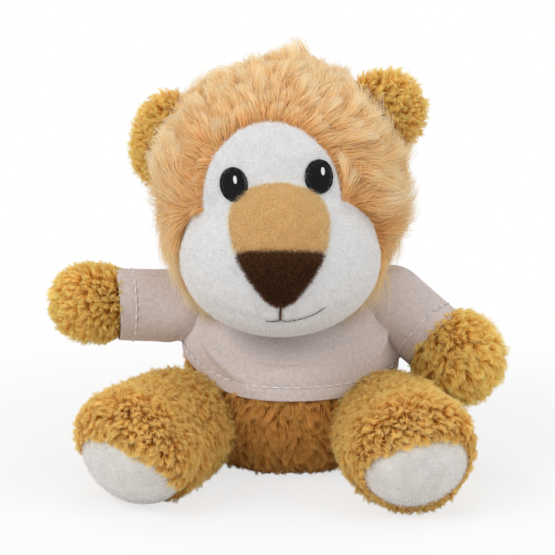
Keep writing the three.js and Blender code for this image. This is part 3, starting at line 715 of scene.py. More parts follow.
# Shirt
# A plain T-shirt of thin cotton jersey: a front and a back panel sewn at the sides, and short sleeves.
# Its hems are turned up and topstitched, and it hangs loose with soft folds from the armpits.
shirt_half_width = 37.2 * mm
shirt_x = 3.0 * mm
shirt_top = 60 * mm
shirt_side = 45 * mm
shirt_shares = [(1, 0), (1.005, 0.3), (0.97, 0.62), (0.88, 0.9), (0.72, 1), (0.56, 0.92), (0.44, 0.85)]
neck_shift = (-4 * mm, -4.8 * mm)
jersey_thickness = 0.7 * mm
hem_share = 0.1
hem_groove = 0.35 * mm
hem_flare = 0.7 * mm
sleeve_radius = 12.4 * mm
sleeve_length = 30 * mm
hem_turn = 5 * mm
cuff_out = 1.4 * mm
cuff_slant = 1.6 * mm
root_at = -12.2 * mm
armhole_swell = (0.6 * mm, 6 * mm)
sleeve_crease = 0.4 * mm
armpit_gather = (1.1 * mm, 2.6 * mm)
cuff_groove = (0.25 * mm, 0.5 * mm)
hem_thread_lift = 0.45 * mm
cuff_thread_lift = 0.12 * mm
stitch_pitch = 3.3 * mm
stitch_length = 2.4 * mm
thread_radius = 0.3 * mm

# drag folds run from the right armpit down across the front, and a deep one lies by the left arm:
# the angle and the share of the height at which each starts and ends, and its depth in mm
folds = [
    (-1.3, 0.5, -0.45, 0.14, 1.6), (-1.1, 0.34, -0.25, 0.05, 1.0), (-1.45, 0.7, -0.85, 0.36, -1.3),
    (1.3, 0.52, 0.85, 0.2, 1.6), (0.95, 0.62, 0.3, 0.5, 0.8), (1.4, 0.78, 0.95, 0.34, -1.7),
    (1.5, 0.4, 1.05, 0.06, 1.5), (-0.8, 0.42, 0.3, 0.27, 1.2), (-0.45, 0.2, 0.65, 0.3, -0.8),
    (0.1, 0.5, 0.9, 0.36, 0.8),
]

# Jersey: fine upright wales, a slight unevenness of the yarn, and a few long soft creases
knit, given, made = node_group(
    "knit",
    {"Light": (1, 1, 1, 1), "Dark": (0.5, 0.5, 0.5, 1), "Wales": 1500.0},
    {"Color": "NodeSocketColor", "Normal": "NodeSocketVector"},
)
weave = add_node(knit, "UVMap", {}, uv_map="weave").outputs[0]
rib, loop = (
    calculated(knit, "SINE", calculated(knit, "MULTIPLY", way, given["Wales"]))
    for way in list(add_node(knit, "SeparateXYZ", {0: weave}).outputs)[:2]
)
stitch = calculated(knit, "MULTIPLY_ADD", loop, 0.4, rib)
yarn = noise(knit, weave, scale=700.0, detail=3.0)
height = calculated(knit, "MULTIPLY_ADD", yarn, 1.6, stitch)
stitch_bump = bumped(knit, height, strength=0.22, distance=0.12 * mm)
crease = noise(knit, weave, scale=60.0, detail=2.0)
crease_bump = bumped(knit, crease, strength=0.35, distance=1.2 * mm, Normal=stitch_bump)
# the colour is lighter where the yarn's unevenness and the stitches' pattern rise
yarn_stitch_mottle = calculated(knit, "MULTIPLY_ADD", stitch, 0.12, yarn)
light_share = spread_out(knit, yarn_stitch_mottle, low=0.2, high=0.75)
shown = blended(knit, light_share, given["Dark"], given["Light"])
set_inputs(knit, made, {"Color": shown, "Normal": crease_bump})


def knit_material(name, light, dark, wales):
    material, tree, shader = new_material(name, rough=0.9, specular=0.25, sheen=0.25)
    values = {"Light": tone(*light), "Dark": tone(*dark), "Wales": wales}
    cloth = add_node(tree, "Group", values, node_tree=knit).outputs
    set_inputs(tree, shader, {"Base Color": cloth["Color"], "Normal": cloth["Normal"]})
    return material


jersey = knit_material("jersey", (228, 216, 213), (204, 191, 190), wales=9000.0)
thread = cloth_material(
    "white_thread", (250, 247, 247), (214, 208, 212), scale=3000, patch=500, bump=0.4
)


def bell(offset, half_width, power=2):
    """A soft rise from 0 to 1 where an offset comes near zero."""
    return np.exp(-((offset / half_width) ** power))


def shirt_point(around, share, lift=0.0):
    """Places on the shirt by the angle from straight ahead and the share of the way up from the hem."""
    profile = spline(shirt_shares, 200)
    place = np.clip(share, 0, 1) * 199
    low = np.minimum(place.astype(int), 198)
    along = profile[low + 1] - profile[low]
    out, up = np.moveaxis(profile[low] + along * (place - low)[..., None], -1, 0)
    hem = hem_height(around)
    height = hem + up * (shirt_top - hem)
    flare = (1 + np.cos(around * 5 + 0.8)) * (0.4 + 0.6 * np.sin(around * 2 + 0.5) ** 2)
    radius = out * shirt_half_width + hem_flare * bell(share, 0.32) * flare + lift
    radius = radius - hem_groove * bell(share - hem_share, 0.014)
    # the neck opening lies forward of the body's middle and a little to its right
    to_neck = np.clip((share - 0.7) / 0.3, 0, 1) ** 1.5
    x = shirt_x + radius * np.sin(around) + neck_shift[0] * to_neck
    y = -radius * np.cos(around) * torso_half_depth / torso_half_width + neck_shift[1] * to_neck
    for start, start_up, end, end_up, depth in folds:
        t = np.clip((around - start) / (end - start), 0, 1)
        ridge = start_up + (end_up - start_up) * t
        push = depth * mm * bell(share - ridge, 0.055) * np.sin(np.pi * np.clip(t, 0.02, 0.98))
        x = x + push * np.sin(around)
        y = y - push * np.cos(around)
    return shouldered(np.stack([x, y, height], axis=-1))


def cloth_map(piece, columns, rows, width, height, closed):
    """Lays the weave map over a grid of faces in metres."""
    layer = piece.data.uv_layers.new(name="weave")
    turns = columns if closed else columns - 1
    for polygon in piece.data.polygons:
        first = polygon.vertices[0]
        for corner, vertex in zip(polygon.loop_indices, polygon.vertices):
            column, row = vertex % columns, (vertex // columns) % rows
            if closed and column == 0 and first % columns == columns - 1:
                column = columns
            layer.data[corner].uv = (column / turns * width, row / (rows - 1) * height)


def panel(name, first, last, node, columns=150, rows=72):
    """One panel of the shirt's body, between two angles, with a turned-in edge at its hem."""
    around, share = np.meshgrid(np.linspace(first, last, columns), np.linspace(0, 1, rows))
    turned_up = shirt_point(around[:2], np.array([[0.06], [0.0]]) + 0 * around[:2], -jersey_thickness)
    grid = np.concatenate([turned_up, shirt_point(around, share)])
    skin = grid.reshape(-1, 3), grid_faces(rows + 2, columns)
    piece = make_piece(name, skin, "torso", jersey, "cotton_jersey", node)
    cloth_map(piece, columns, rows + 2, (last - first) * shirt_half_width, shirt_side, closed=False)
    return piece


for name, first, last in (("front", -np.pi / 2, np.pi / 2), ("back", np.pi / 2, 3 * np.pi / 2)):
    piece = panel(f"shirt_{name}_jersey", first, last, f"shirt_{name}")


# The short sleeves are tubes sewn into the armholes; the arms' cloth and pile fill them.
def sleeve_rings(side, columns=72, rows=46):
    """Rings from the armhole to the cuff and a little way back inside it, in the arm's own frame."""
    share = np.linspace(0, 1, rows)[:, None]
    angle = full_turn(columns)[None, :]
    along = root_at + share * (cuff_at - root_at)
    low = np.sin(angle)
    sewn_in = np.sqrt(np.clip(1 - (np.minimum(along, 0) / (root_at * 1.001)) ** 2, 0, 1))
    out = (sleeve_radius + armhole_swell[0] * bell(along, armhole_swell[1])) * sewn_in
    # creases gather under the arm and at the shoulder
    crease = np.sin(angle * 3 + share * 4 + (0.6 if side == "right" else 2.2)) * np.sin(np.pi * share) ** 0.7
    out = out + sleeve_crease * crease * sewn_in
    out = out - armpit_gather[0] * bell(along, armpit_gather[1]) * np.clip(-low, 0, 1)
    out = out - cuff_groove[0] * bell(along - (cuff_at - hem_turn), cuff_groove[1])
    slant = (cuff_slant * low + cuff_out) * share**2
    flat = np.stack([out * np.cos(angle), out * np.sin(angle), along + slant], axis=2)
    inner = flat[[-1, -8]] * np.array([0.955, 0.955, 1])
    return np.concatenate([flat, inner])


for side, arm in arms.items():
    rings = sleeve_rings(side)
    skin = skin_of(placed(arm["matrix"], rings), closed_ends=False)
    sleeve = make_piece(f"sleeve_{side}_jersey", skin, None, jersey, "cotton_jersey", f"sleeve_{side}")
    cloth_map(sleeve, rings.shape[1], len(rings), 2 * np.pi * sleeve_radius, sleeve_length, closed=True)
    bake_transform(sleeve)


# Topstitching: a row of thread along each hem and cuff
def thread_rings(path, radius, sides=6):
    """A round thread along a path, narrowed at both ends."""
    along = unit(np.gradient(path, axis=0))
    across = unit(np.cross(along, [0.13, 0.31, 0.94]))
    other = np.cross(along, across)
    angle = full_turn(sides)[None, :, None]
    narrow = np.sqrt(np.clip(1 - np.linspace(-0.96, 0.96, len(path)) ** 4, 0, 1))[:, None, None]
    ring = across[:, None] * np.cos(angle) + other[:, None] * np.sin(angle)
    return path[:, None] + radius * narrow * ring


def stitched(name, body, paths, radius, material, slot, *nodes):
    """Many short threads as one piece."""
    all_points, all_faces, used = [], [], 0
    for path in paths:
        points, faces = skin_of(thread_rings(path, radius))
        all_points.append(points)
        all_faces += [[used + corner for corner in face] for face in faces]
        used += len(points)
    make_piece(name, (np.vstack(all_points), all_faces), body, material, slot, *nodes)


def row_of_stitches(line, count):
    """Stitches spread along a closed line, given as a function of a share from 0 to 1."""
    size = stitch_length / stitch_pitch
    starts = (np.arange(count) + 0.5) / count
    return [line(np.linspace(s - size / 2 / count, s + size / 2 / count, 7)) for s in starts]


def hem_line(t):
    return shirt_point(2 * np.pi * t, 0 * t + hem_share, hem_thread_lift)


def cuff_line(matrix, t):
    angle = 2 * np.pi * t
    radius = sleeve_radius + cuff_thread_lift
    slant = (cuff_slant * np.sin(angle) + cuff_out) * 0.66
    ring = np.stack([radius * np.cos(angle), radius * np.sin(angle), cuff_at - hem_turn + slant], axis=1)
    return placed(matrix, ring)


paths = row_of_stitches(hem_line, count=66)
stitched("hem_stitches", "torso", paths, thread_radius, thread, "cotton_jersey")
for side, arm in arms.items():
    paths = row_of_stitches(lambda t: cuff_line(arm["matrix"], t), count=24)
    stitched(f"cuff_stitches_{side}", f"arm_{side}", paths, thread_radius, thread, "cotton_jersey")

# Neck
# The stuffing runs on from the body into the head, under short golden pile.
# A ribbed band of jersey closes the shirt round it.
neck_at = (-1 * mm, -5 * mm, 54 * mm)
neck_radius = 10.8 * mm
neck_foot_z = 46 * mm
neck_pivot_z = 58 * mm
neck_fur_top = 64 * mm
neck_tilt = 8
band_radius = 15 * mm
band_height = 4.2 * mm
band_half_depth = 1.3 * mm
band_sides = 160
neck_sides = 48
rib_depth_share = 0.012
collar = dict(tufted, length=2.4 * mm, rise=(60, 10), per_mm2=8)
band_flat_height = 9 * mm
rib_knit = knit_material("rib_knit", (232, 224, 228), (200, 190, 196), wales=3600.0)

rise = np.linspace(0, np.pi / 2, 14)[:-1]
dome = np.stack([neck_radius * np.cos(rise), neck_pivot_z + neck_radius * np.sin(rise)], axis=1)
profile = np.vstack([[[neck_radius, neck_foot_z]], dome])
skin = skin_of(turned(profile, neck_sides) + [neck_at[0], neck_at[1], 0])
make_piece("neck_fibre", skin, "neck", golden_backing, "stuffing", "neck_filling", padding=0.8)
planted = planted_where(skin, collar, 64, lambda at: (at[:, 2] > neck_at[2]) & (at[:, 2] < neck_fur_top))
flow = np.array([[0, 0, -1.0]])
# the neck's pile takes the darker colour, with its painted shade under the head
grow_coat("neck_fur", "neck", planted, flow, collar, golden_nap, seed=65)

angle = np.linspace(0.2, 2 * np.pi - 0.2, 24) - np.pi / 2
section = np.stack([band_half_depth * np.cos(angle), band_height / 2 * np.sin(angle)], axis=1)
rings = turned(section[::-1] + [band_radius - 1 * mm, 0], band_sides)
ribs = np.sin(np.arange(band_sides) * 2 * np.pi / 4)[None, :, None] * np.array([1, 1, 0])
rings = placed(limb_matrix(neck_at, 0, neck_tilt - 90), rings * (1 + rib_depth_share * ribs))
skin = skin_of(rings, closed_ends=False)
band = make_piece("neck_band_rib", skin, "torso", rib_knit, "cotton_jersey", "shirt_neck_band")
cloth_map(band, band_sides, len(rings), 2 * np.pi * band_radius, band_flat_height, closed=True)

# Head
# A stuffed ball whose face is a panel of short white velvety pile.
# Its muzzle, a sewn bulge of the same cloth, stands out below.
head_at = np.array([-1, -8, 99.5]) * mm
head_radius = 43.5 * mm
mane_backing = 6.2 * mm
face_radius = 39.3 * mm
head_tilt = np.radians(5.5)
face_half_width = 23.6 * mm
face_x = -3.4 * mm
face_top = 27.4 * mm
face_bottom = 24 * mm
muzzle_at = np.array([-1, -33, 79.5]) * mm
muzzle_half = np.array([32.5, 30, 25]) * mm
muzzle_mean = 28.5 * mm
muzzle_front = 8 * mm
muzzle_blend = 2.6 * mm
bridge_rise = 6 * mm
bridge_half_width = 16 * mm
eye_half = (4.35 * mm, 5.2 * mm)
eye_spacing = 27.6 * mm
eye_middle = (-2.2 * mm, 107.6 * mm)
eye_rim = 1.6 * mm
eye_pull = 0.5 * mm
nose_tip = 70 * mm
mouth_z = 64 * mm
mouth_rise = 4.6 * mm
mouth_half = 19 * mm
mouth_end = 21 * mm
mouth_seam = (0.9 * mm, 0.9 * mm)
lip_seam = (0.7 * mm, 1.1 * mm)
lip_overlap = (1 * mm, 0.5 * mm)
muzzle_seam = (-3 * mm, 1.2 * mm)
muzzle_back_y = -14 * mm
head_search = (30 * mm, 70 * mm)
head_rings = 210
head_sides = 300
rings_below_level = 0.38
face_search = (20 * mm, 70 * mm)
mane_cloth = cloth_material("mane_cloth", (238, 192, 134), (210, 158, 98))
white_velvet = cloth_material(
    "white_velvet", (231, 231, 232), (213, 213, 215), scale=1700, patch=260, bump=0.5, sheen=0.35
)


def face_reach(points):
    """How far points lie out from the face panel's middle, as a share of its outline."""
    dx, dz = points[..., 0] - face_x, points[..., 2] - head_at[2]
    across = dx * np.cos(head_tilt) + dz * np.sin(head_tilt)
    up = -dx * np.sin(head_tilt) + dz * np.cos(head_tilt)
    return np.hypot(across / face_half_width, up / np.where(up > 0, face_top, face_bottom))


def eye_places():
    for side in (-1, 1):
        out = side * eye_spacing / 2
        yield side, eye_middle[0] + out * np.cos(head_tilt), eye_middle[1] + out * np.sin(head_tilt)


def muzzle_level(points):
    """About the distance from the muzzle's surface, negative inside."""
    x, y, z = np.moveaxis(points - muzzle_at, -1, 0)
    ridge = bridge_rise * bell(x, bridge_half_width)
    up = np.where(z > 0, z / (muzzle_half[2] + ridge), z / muzzle_half[2])
    return (np.sqrt((x / muzzle_half[0]) ** 2 + (y / muzzle_half[1]) ** 2 + up**2) - 1) * muzzle_mean


def mouth_height(x):
    """Height of the mouth seam's soft curve."""
    return mouth_z + mouth_rise * np.abs((x - head_at[0]) / mouth_half) ** 1.7


def head_level(points):
    """About the distance from the head's cloth: skull and muzzle, blended, and drawn in by the seams."""
    x, z = points[..., 0], points[..., 2]
    ahead = points[..., 1] < head_at[1]
    panel = np.clip((1.03 - face_reach(points)) / 0.1, 0, 1) * ahead
    panel = panel * panel * (3 - 2 * panel)
    base = head_radius - mane_backing
    skull = np.linalg.norm(points - head_at, axis=-1) - base - (face_radius - base) * panel
    snout = muzzle_level(points)
    mix = np.clip(0.5 + 0.5 * (skull - snout) / muzzle_blend, 0, 1)
    level = skull * (1 - mix) + snout * mix - muzzle_blend * mix * (1 - mix)
    for _, eye_x, eye_z in eye_places():
        away = np.hypot((x - eye_x) / (eye_half[0] + eye_rim), (z - eye_z) / (eye_half[1] + eye_rim))
        level = level + eye_pull * bell(away, 1, 4) * ahead
    front = points[..., 1] < muzzle_at[1] - muzzle_front
    aside = np.abs(x - head_at[0])
    seam = bell(z - mouth_height(x), mouth_seam[1]) * (aside < mouth_end)
    below_nose = (z < nose_tip + lip_overlap[0]) & (z > mouth_height(x) - lip_overlap[1])
    return level + (mouth_seam[0] * seam + lip_seam[0] * bell(aside, lip_seam[1]) * below_nose) * front


def outward(origins, headings, near, far, steps=70):
    """Where rays last leave the head's form."""
    found = np.full(len(headings), near)
    ahead = np.full(len(headings), far)
    open_yet = np.ones(len(headings), bool)
    for distance in np.linspace(far, near, steps):
        inside = head_level(origins + headings * distance) < 0
        found[inside & open_yet] = distance
        open_yet &= ~inside
        ahead[open_yet] = distance
    low, high = found, np.maximum(ahead, found)
    for _ in range(18):
        middle = (low + high) / 2
        inside = head_level(origins + headings * middle[:, None]) < 0
        low, high = np.where(inside, middle, low), np.where(inside, high, middle)
    return origins + headings * low[:, None]


def head_headings(ring_count, sides, aim):
    """Directions in rings about an aim below straight ahead, closer together in front."""
    bend = np.linspace(0.004, 0.996, ring_count)[:, None, None]
    away = np.pi * (0.72 * bend + 0.28 * bend**2)
    turn = full_turn(sides)[None, :, None]
    forward = np.array([0.0, -np.cos(aim), -np.sin(aim)])
    level_side = np.array([1.0, 0, 0])
    upright = np.cross(level_side, forward)
    return np.cos(away) * forward + np.sin(away) * (np.cos(turn) * level_side + np.sin(turn) * upright)


headings = head_headings(head_rings, head_sides, rings_below_level)
head_points = outward(head_at, headings.reshape(-1, 3), *head_search).reshape(headings.shape)
all_points, all_faces = skin_of(head_points)
centres = np.array([all_points[face].mean(axis=0) for face in all_faces])
from_muzzle = muzzle_level(centres)
on_muzzle = (from_muzzle > muzzle_seam[0]) & (from_muzzle < muzzle_seam[1]) & (centres[:, 1] < muzzle_back_y)
on_face = (face_reach(centres) < 1.04) & (centres[:, 1] < head_at[1]) & ~on_muzzle


def part_of_head(name, chosen, material, slot, *nodes):
    """The chosen faces of the head's form as a piece of their own."""
    faces = [all_faces[i] for i in np.flatnonzero(chosen)]
    used = sorted({corner for face in faces for corner in face})
    renumbered = {corner: i for i, corner in enumerate(used)}
    skin = all_points[used], [[renumbered[c] for c in face] for face in faces]
    return make_piece(name, skin, "head", material, slot, *nodes, padding=0.85)


part_of_head("mane_cloth_ball", ~on_muzzle & ~on_face, mane_cloth, "mane_plush", "mane_skin", "head_filling")
face = part_of_head("face_velvet", on_face, white_velvet, "white_plush", "face_panel")
grow_nap(face, "head", (0, 0, 1.0), white_nap, "white_plush", seed=111)

# Muzzle
# White velvet like the face, with a tan bridge and a brown nose on it.
# These are padded patches of short pile, sewn on with tight edges. Brown thread draws the mouth.
nose_top = 88 * mm
nose_half_width = 15 * mm
nose_crown = 1.5 * mm
nose_dip = 0.9 * mm
bridge_top = 107.4 * mm
bridge_foot_half = 15.5 * mm
bridge_swell = 1.3 * mm
bridge_lean = 0.8 * mm
slope_step = 0.4 * mm
tan_velvet = cloth_material(
    "tan_velvet", (222, 182, 124), (196, 150, 92), scale=1500, patch=260, bump=0.6
)
tan_nap = pile_material(
    "tan_nap", (208, 174, 114), (236, 212, 158), (246, 230, 188), variation=0.09, sheen=0.2
)
brown_velvet = cloth_material(
    "brown_velvet", (76, 44, 20), (38, 20, 7), scale=1300, patch=500, bump=0.9, sheen=0.06
)
brown_nap = pile_material(
    "brown_nap", (58, 32, 14), (96, 60, 34), (146, 104, 72), variation=0.4, sheen=0.1
)
mouth_thread = cloth_material(
    "mouth_thread", (96, 62, 44), (60, 36, 26), scale=3000, patch=700, bump=0.4, sheen=0.1
)
# the mouth's threads, as places in X and Z
lip = np.array([(-1.0, 70.4), (-1.1, 67.5), (-1.3, 64.6)]) * mm
mouth_left = np.array([(-1.3, 64.5), (2.0, 64.2), (6.0, 65.0), (9.5, 66.6), (13.5, 69.2)]) * mm
mouth_right = np.array([(-1.3, 64.5), (-3.4, 63.8), (-5.6, 63.9)]) * mm
lip_thread_gap = 0.45 * mm
lip_thread_lift = 0.55 * mm
mouth_thread_lift = 0.5 * mm
mouth_thread_radius = 0.2 * mm
bridge_padding = (0.7 * mm, 1.0 * mm)
bridge_pile = 1.0 * mm
nose_padding = (1.7 * mm, 0.8 * mm)
nose_pile = 1.2 * mm


def on_head(x, z, lift=0.0):
    """Points on the face over places in X and Z, raised by a lift."""
    flat = np.stack([x.ravel(), np.zeros(x.size), z.ravel()], axis=1)
    hits = outward(flat, np.broadcast_to([0.0, -1.0, 0.0], flat.shape), *face_search)
    steps = slope_step * np.eye(3)
    slope = np.stack([head_level(hits + step) - head_level(hits - step) for step in steps], axis=1)
    return (hits + unit(slope) * np.ravel(lift)[:, None]).reshape(*x.shape, 3)


def patch(name, x, z, lift, material, slot, *nodes):
    """A padded patch over a grid of places, whose rows and columns end in its edges."""
    skin = on_head(x, z, lift).reshape(-1, 3), grid_faces(*x.shape)
    return make_piece(name, skin, "head", material, slot, *nodes, padding=0.7)


def crowned(across, up, height, edge):
    """A patch's lift: full in the middle, and turned under at its edges."""
    full = (1 - np.abs(across) ** 5) * (1 - np.abs(up) ** 5)
    return height * full**0.6 - edge * (1 - full) ** 6


def laid_thread(points, lift, count=14):
    line = spline(points, count)
    return on_head(line[:, 0], line[:, 1], lift)


muzzle = part_of_head("muzzle_velvet", on_muzzle, white_velvet, "white_plush",
                      "muzzle_skin", "muzzle_filling", "chin_panel")
grow_nap(muzzle, "head", (0, 0, -1.0), white_nap, "white_plush", seed=121)

across, up = np.meshgrid(np.linspace(-1, 1, 61), np.linspace(-1, 1, 49))
rise = (up + 1) / 2
rounded = np.sqrt(np.clip(1 - (np.clip(rise - 0.4, 0, 1) / 0.6) ** 2.4, 0.0, 1))
half = (bridge_foot_half + bridge_swell * np.minimum(rise * 2.4, 1) ** 0.8) * np.maximum(rounded, 0.03)
foot = nose_top - nose_dip
x = head_at[0] + across * half - bridge_lean * rise
z = foot + rise * (bridge_top - foot) - nose_dip * across**2 * (1 - rise)
lift = crowned(across, np.clip(up, -0.9, 0.92), *bridge_padding)
bridge = patch("bridge_velvet", x, z, lift, tan_velvet, "tan_plush", "nose_bridge")
grow_nap(bridge, "head", (0, 0, 1.0), tan_nap, "tan_plush", seed=131, length=bridge_pile, per_mm2=22)

above_tip = 1 - (1 - up) / 2
narrowed = np.sqrt(np.clip(above_tip, 0, 1)) * 0.66 + above_tip * 0.34
x = head_at[0] + across * nose_half_width * np.maximum(narrowed, 0.03)
z = nose_tip + above_tip * (nose_top - nose_tip + nose_crown * (1 - across**2) - nose_dip)
lift = crowned(across, np.clip(up, -0.93, 1), *nose_padding)
nose = patch("nose_velvet", x, z, lift, brown_velvet, "brown_plush", "nose_tip")
grow_nap(nose, "head", (0, 0, 1.0), brown_nap, "brown_plush", seed=141, length=nose_pile, per_mm2=26)

lips = [laid_thread(lip + [gap, 0], lip_thread_lift) for gap in (0, lip_thread_gap)]
stitched("lip_threads", "head", lips, thread_radius, mouth_thread, "brown_plush")
mouth = [laid_thread(mouth_left, mouth_thread_lift, count=24), laid_thread(mouth_right, lip_thread_lift)]
stitched("mouth_threads", "head", mouth, mouth_thread_radius, mouth_thread, "brown_plush")

# Eyes
# Black satin stitch, sewn straight through the face panel.
# Each eye has a small glint of white thread, and stuffing stitches round its edge keep it crisp.
thread_pitch = 0.34 * mm
satin_radius = 0.62 * thread_pitch
eye_lift = 0.3 * mm
eye_dome = 0.8 * mm
eye_lean = 0.05
glint_half = (0.62 * mm, 1.2 * mm)
glint_off = (0.8 * mm, 1.6 * mm)
glint_lift = 1.2 * mm
glint_dome = 0.3 * mm
rim_radius = 0.42 * mm
rim_steps = 49
rim_lift = 0.2 * mm
black_thread, tree, shader = new_material("black_thread", rough=0.65, specular=0.18)
place = add_node(tree, "TexCoord", {}).outputs["Object"]
strands = noise(tree, place, scale=2600.0, detail=2.0)
looks = {
    "Base Color": blended(tree, strands, tone(6, 6, 7), tone(20, 19, 22)),
    "Normal": bumped(tree, strands, strength=0.3, distance=0.1 * mm),
}
set_inputs(tree, shader, looks)
glint_thread = cloth_material(
    "glint_thread", (252, 252, 252), (226, 226, 230), scale=3000, patch=700, rough=0.5
)


def tilted(centre, x, z, tilt):
    """Places in X and Z about a centre, tilted in the face's plane."""
    return centre[0] + x * np.cos(tilt) - z * np.sin(tilt), centre[1] + x * np.sin(tilt) + z * np.cos(tilt)


def satin(name, centre, half, tilt, lift, dome, material, slot, *nodes):
    """Threads side by side across an oval, each bowed up in its middle."""
    paths = []
    count = int(2 * half[1] / thread_pitch)
    for row in range(count):
        up = (row + 0.5) / count * 2 - 1
        wide = half[0] * np.sqrt(1 - up**2) * (1 + 0.03 * np.sin(row * 2.4))
        t = np.linspace(-1, 1, 9)
        x, z = tilted(centre, t * wide, up * half[1], tilt)
        height = lift + dome * np.sqrt(np.clip(1 - t**2 * 0.9, 0, 1)) * np.sqrt(1 - up**2 * 0.9)
        paths.append(on_head(x, z, height))
    stitched(name, "head", paths, satin_radius, material, slot, *nodes)


for way, eye_x, eye_z in eye_places():
    side = "left" if way > 0 else "right"
    tilt = head_tilt + eye_lean * way
    middle = (eye_x, eye_z)
    satin(f"eye_{side}_satin", middle, eye_half, tilt, eye_lift, eye_dome, black_thread, "black_thread",
          f"eye_{side}")
    beside = (eye_x + glint_off[0], eye_z + glint_off[1])
    satin(f"eye_{side}_glint", beside, glint_half, head_tilt, glint_lift, glint_dome, glint_thread,
          "white_plush")
    turn = np.linspace(0, 2 * np.pi, rim_steps)
    rim_x, rim_z = tilted(middle, eye_half[0] * np.cos(turn), eye_half[1] * np.sin(turn), tilt)
    rim = on_head(rim_x, rim_z, rim_lift)
    stitched(f"eye_{side}_rim", "head", [rim], rim_radius, black_thread, "black_thread")

# Mane
# Long soft pile on the head's own plush, all over it apart from the face and the muzzle.
# It is brushed outwards from the face and down at the back, and hangs below the cheeks.
lock_swirl = 24 * mm
neck_clear = 11 * mm
mane_floor = 52 * mm
hang_from = 96 * mm
hang_full = 78 * mm
crown_tuft = np.array([5.5, -4, 37]) * mm
crown_reach = 6 * mm
top_from = 118 * mm
ear_clear = 13 * mm
ear_seams = ((-0.86, 0.3, 0.39), (0.79, 0.08, 0.57))
face_middle = head_at + np.array([0, -44, -6]) * mm
face_clear = 0.95
muzzle_clear = 1.0 * mm
muzzle_fur_y = -12 * mm
behind_from = head_at[1] - 10 * mm
behind_ease = 40 * mm
top_ease = 16 * mm
side_ease = 34 * mm
fringe_top = 117 * mm
long_pile = {
    "length": 15.5 * mm, "width": 0.24 * mm, "steps": 5, "rise": (50, -22), "uneven": 9, "stray": 15,
    "droop": 0.12, "curl": 1.0 * mm, "turns": 0.9, "per_lock": 56, "pull": 0.68, "pull_power": 0.85,
    "ragged": 0.22, "per_mm2": 11,
}

roots, normals = scattered(skin_of(head_points[::2, ::2]), long_pile["per_mm2"], seed=71)
reach = face_reach(roots)
ahead = roots[:, 1] < head_at[1]
on_muzzle = (muzzle_level(roots) < muzzle_clear) & (roots[:, 1] < muzzle_fur_y)
from_neck = np.hypot(roots[:, 0] - neck_at[0], roots[:, 1] - neck_at[1])
at_neck = (from_neck <= neck_clear) & (roots[:, 2] <= head_at[2])
shows = ~((reach < face_clear) & ahead) & ~on_muzzle & ~at_neck
roots, normals, reach, ahead = roots[shows], normals[shows], reach[shows], ahead[shows]
behind = np.clip((roots[:, 1] - behind_from) / behind_ease, 0, 1)
hanging = np.clip((hang_from - roots[:, 2]) / (hang_from - hang_full), 0, 1) * (1 - behind)
edge = np.where(ahead, np.clip((reach - 1.0) / 0.25, 0, 1), 1)
# the pile is short at the face's edge and round the ears, and one tuft stands up on the crown
by_ears = 0
for aim in ear_seams:
    ear_root = head_at + unit(np.array(aim)) * head_radius
    by_ears = by_ears + bell(np.linalg.norm(roots - ear_root, axis=1), ear_clear, 4)
crown = bell(np.linalg.norm(roots - head_at - crown_tuft, axis=1), crown_reach)
high = np.clip((roots[:, 2] - top_from) / top_ease, 0, 1) * (1 - 0.9 * crown)
aside = np.clip(np.abs(roots[:, 0] - head_at[0]) / side_ease, 0, 1) ** 2 * (1 - behind)
short = (0.6 + 0.4 * np.maximum(edge, hanging)) * (1 - 0.6 * by_ears) * (1 - 0.07 * aside)
short = short * (1 + 0.45 * hanging) * (1 - 0.2 * high) * (1 - 0.16 * crown)
stand = 24 * crown - 10 * aside + 10 * hanging - 16 * (1 - edge) * (roots[:, 2] < fringe_top)
mane_coat = dict(long_pile, short=short, stand=stand)
behind, hanging = behind[:, None], hanging[:, None]
flow = unit(roots - face_middle) * (1 - 0.75 * behind) + np.array([0, 0.25, -1.0]) * behind * 1.1
swirl = (0.75 - 0.45 * behind) * swirled(roots, lock_swirl, seed=81)
flow = unit(flow + swirl + hanging * np.array([0, -0.7, -1.5]))
order = np.arctan2(roots[:, 0] - head_at[0], roots[:, 2] - head_at[2]) + 10 * (roots[:, 1] > head_at[1])
grow_coat("mane_fur", "head", (roots, normals), flow, mane_coat, mane_long, seed=72,
          order=order, floor=mane_floor)

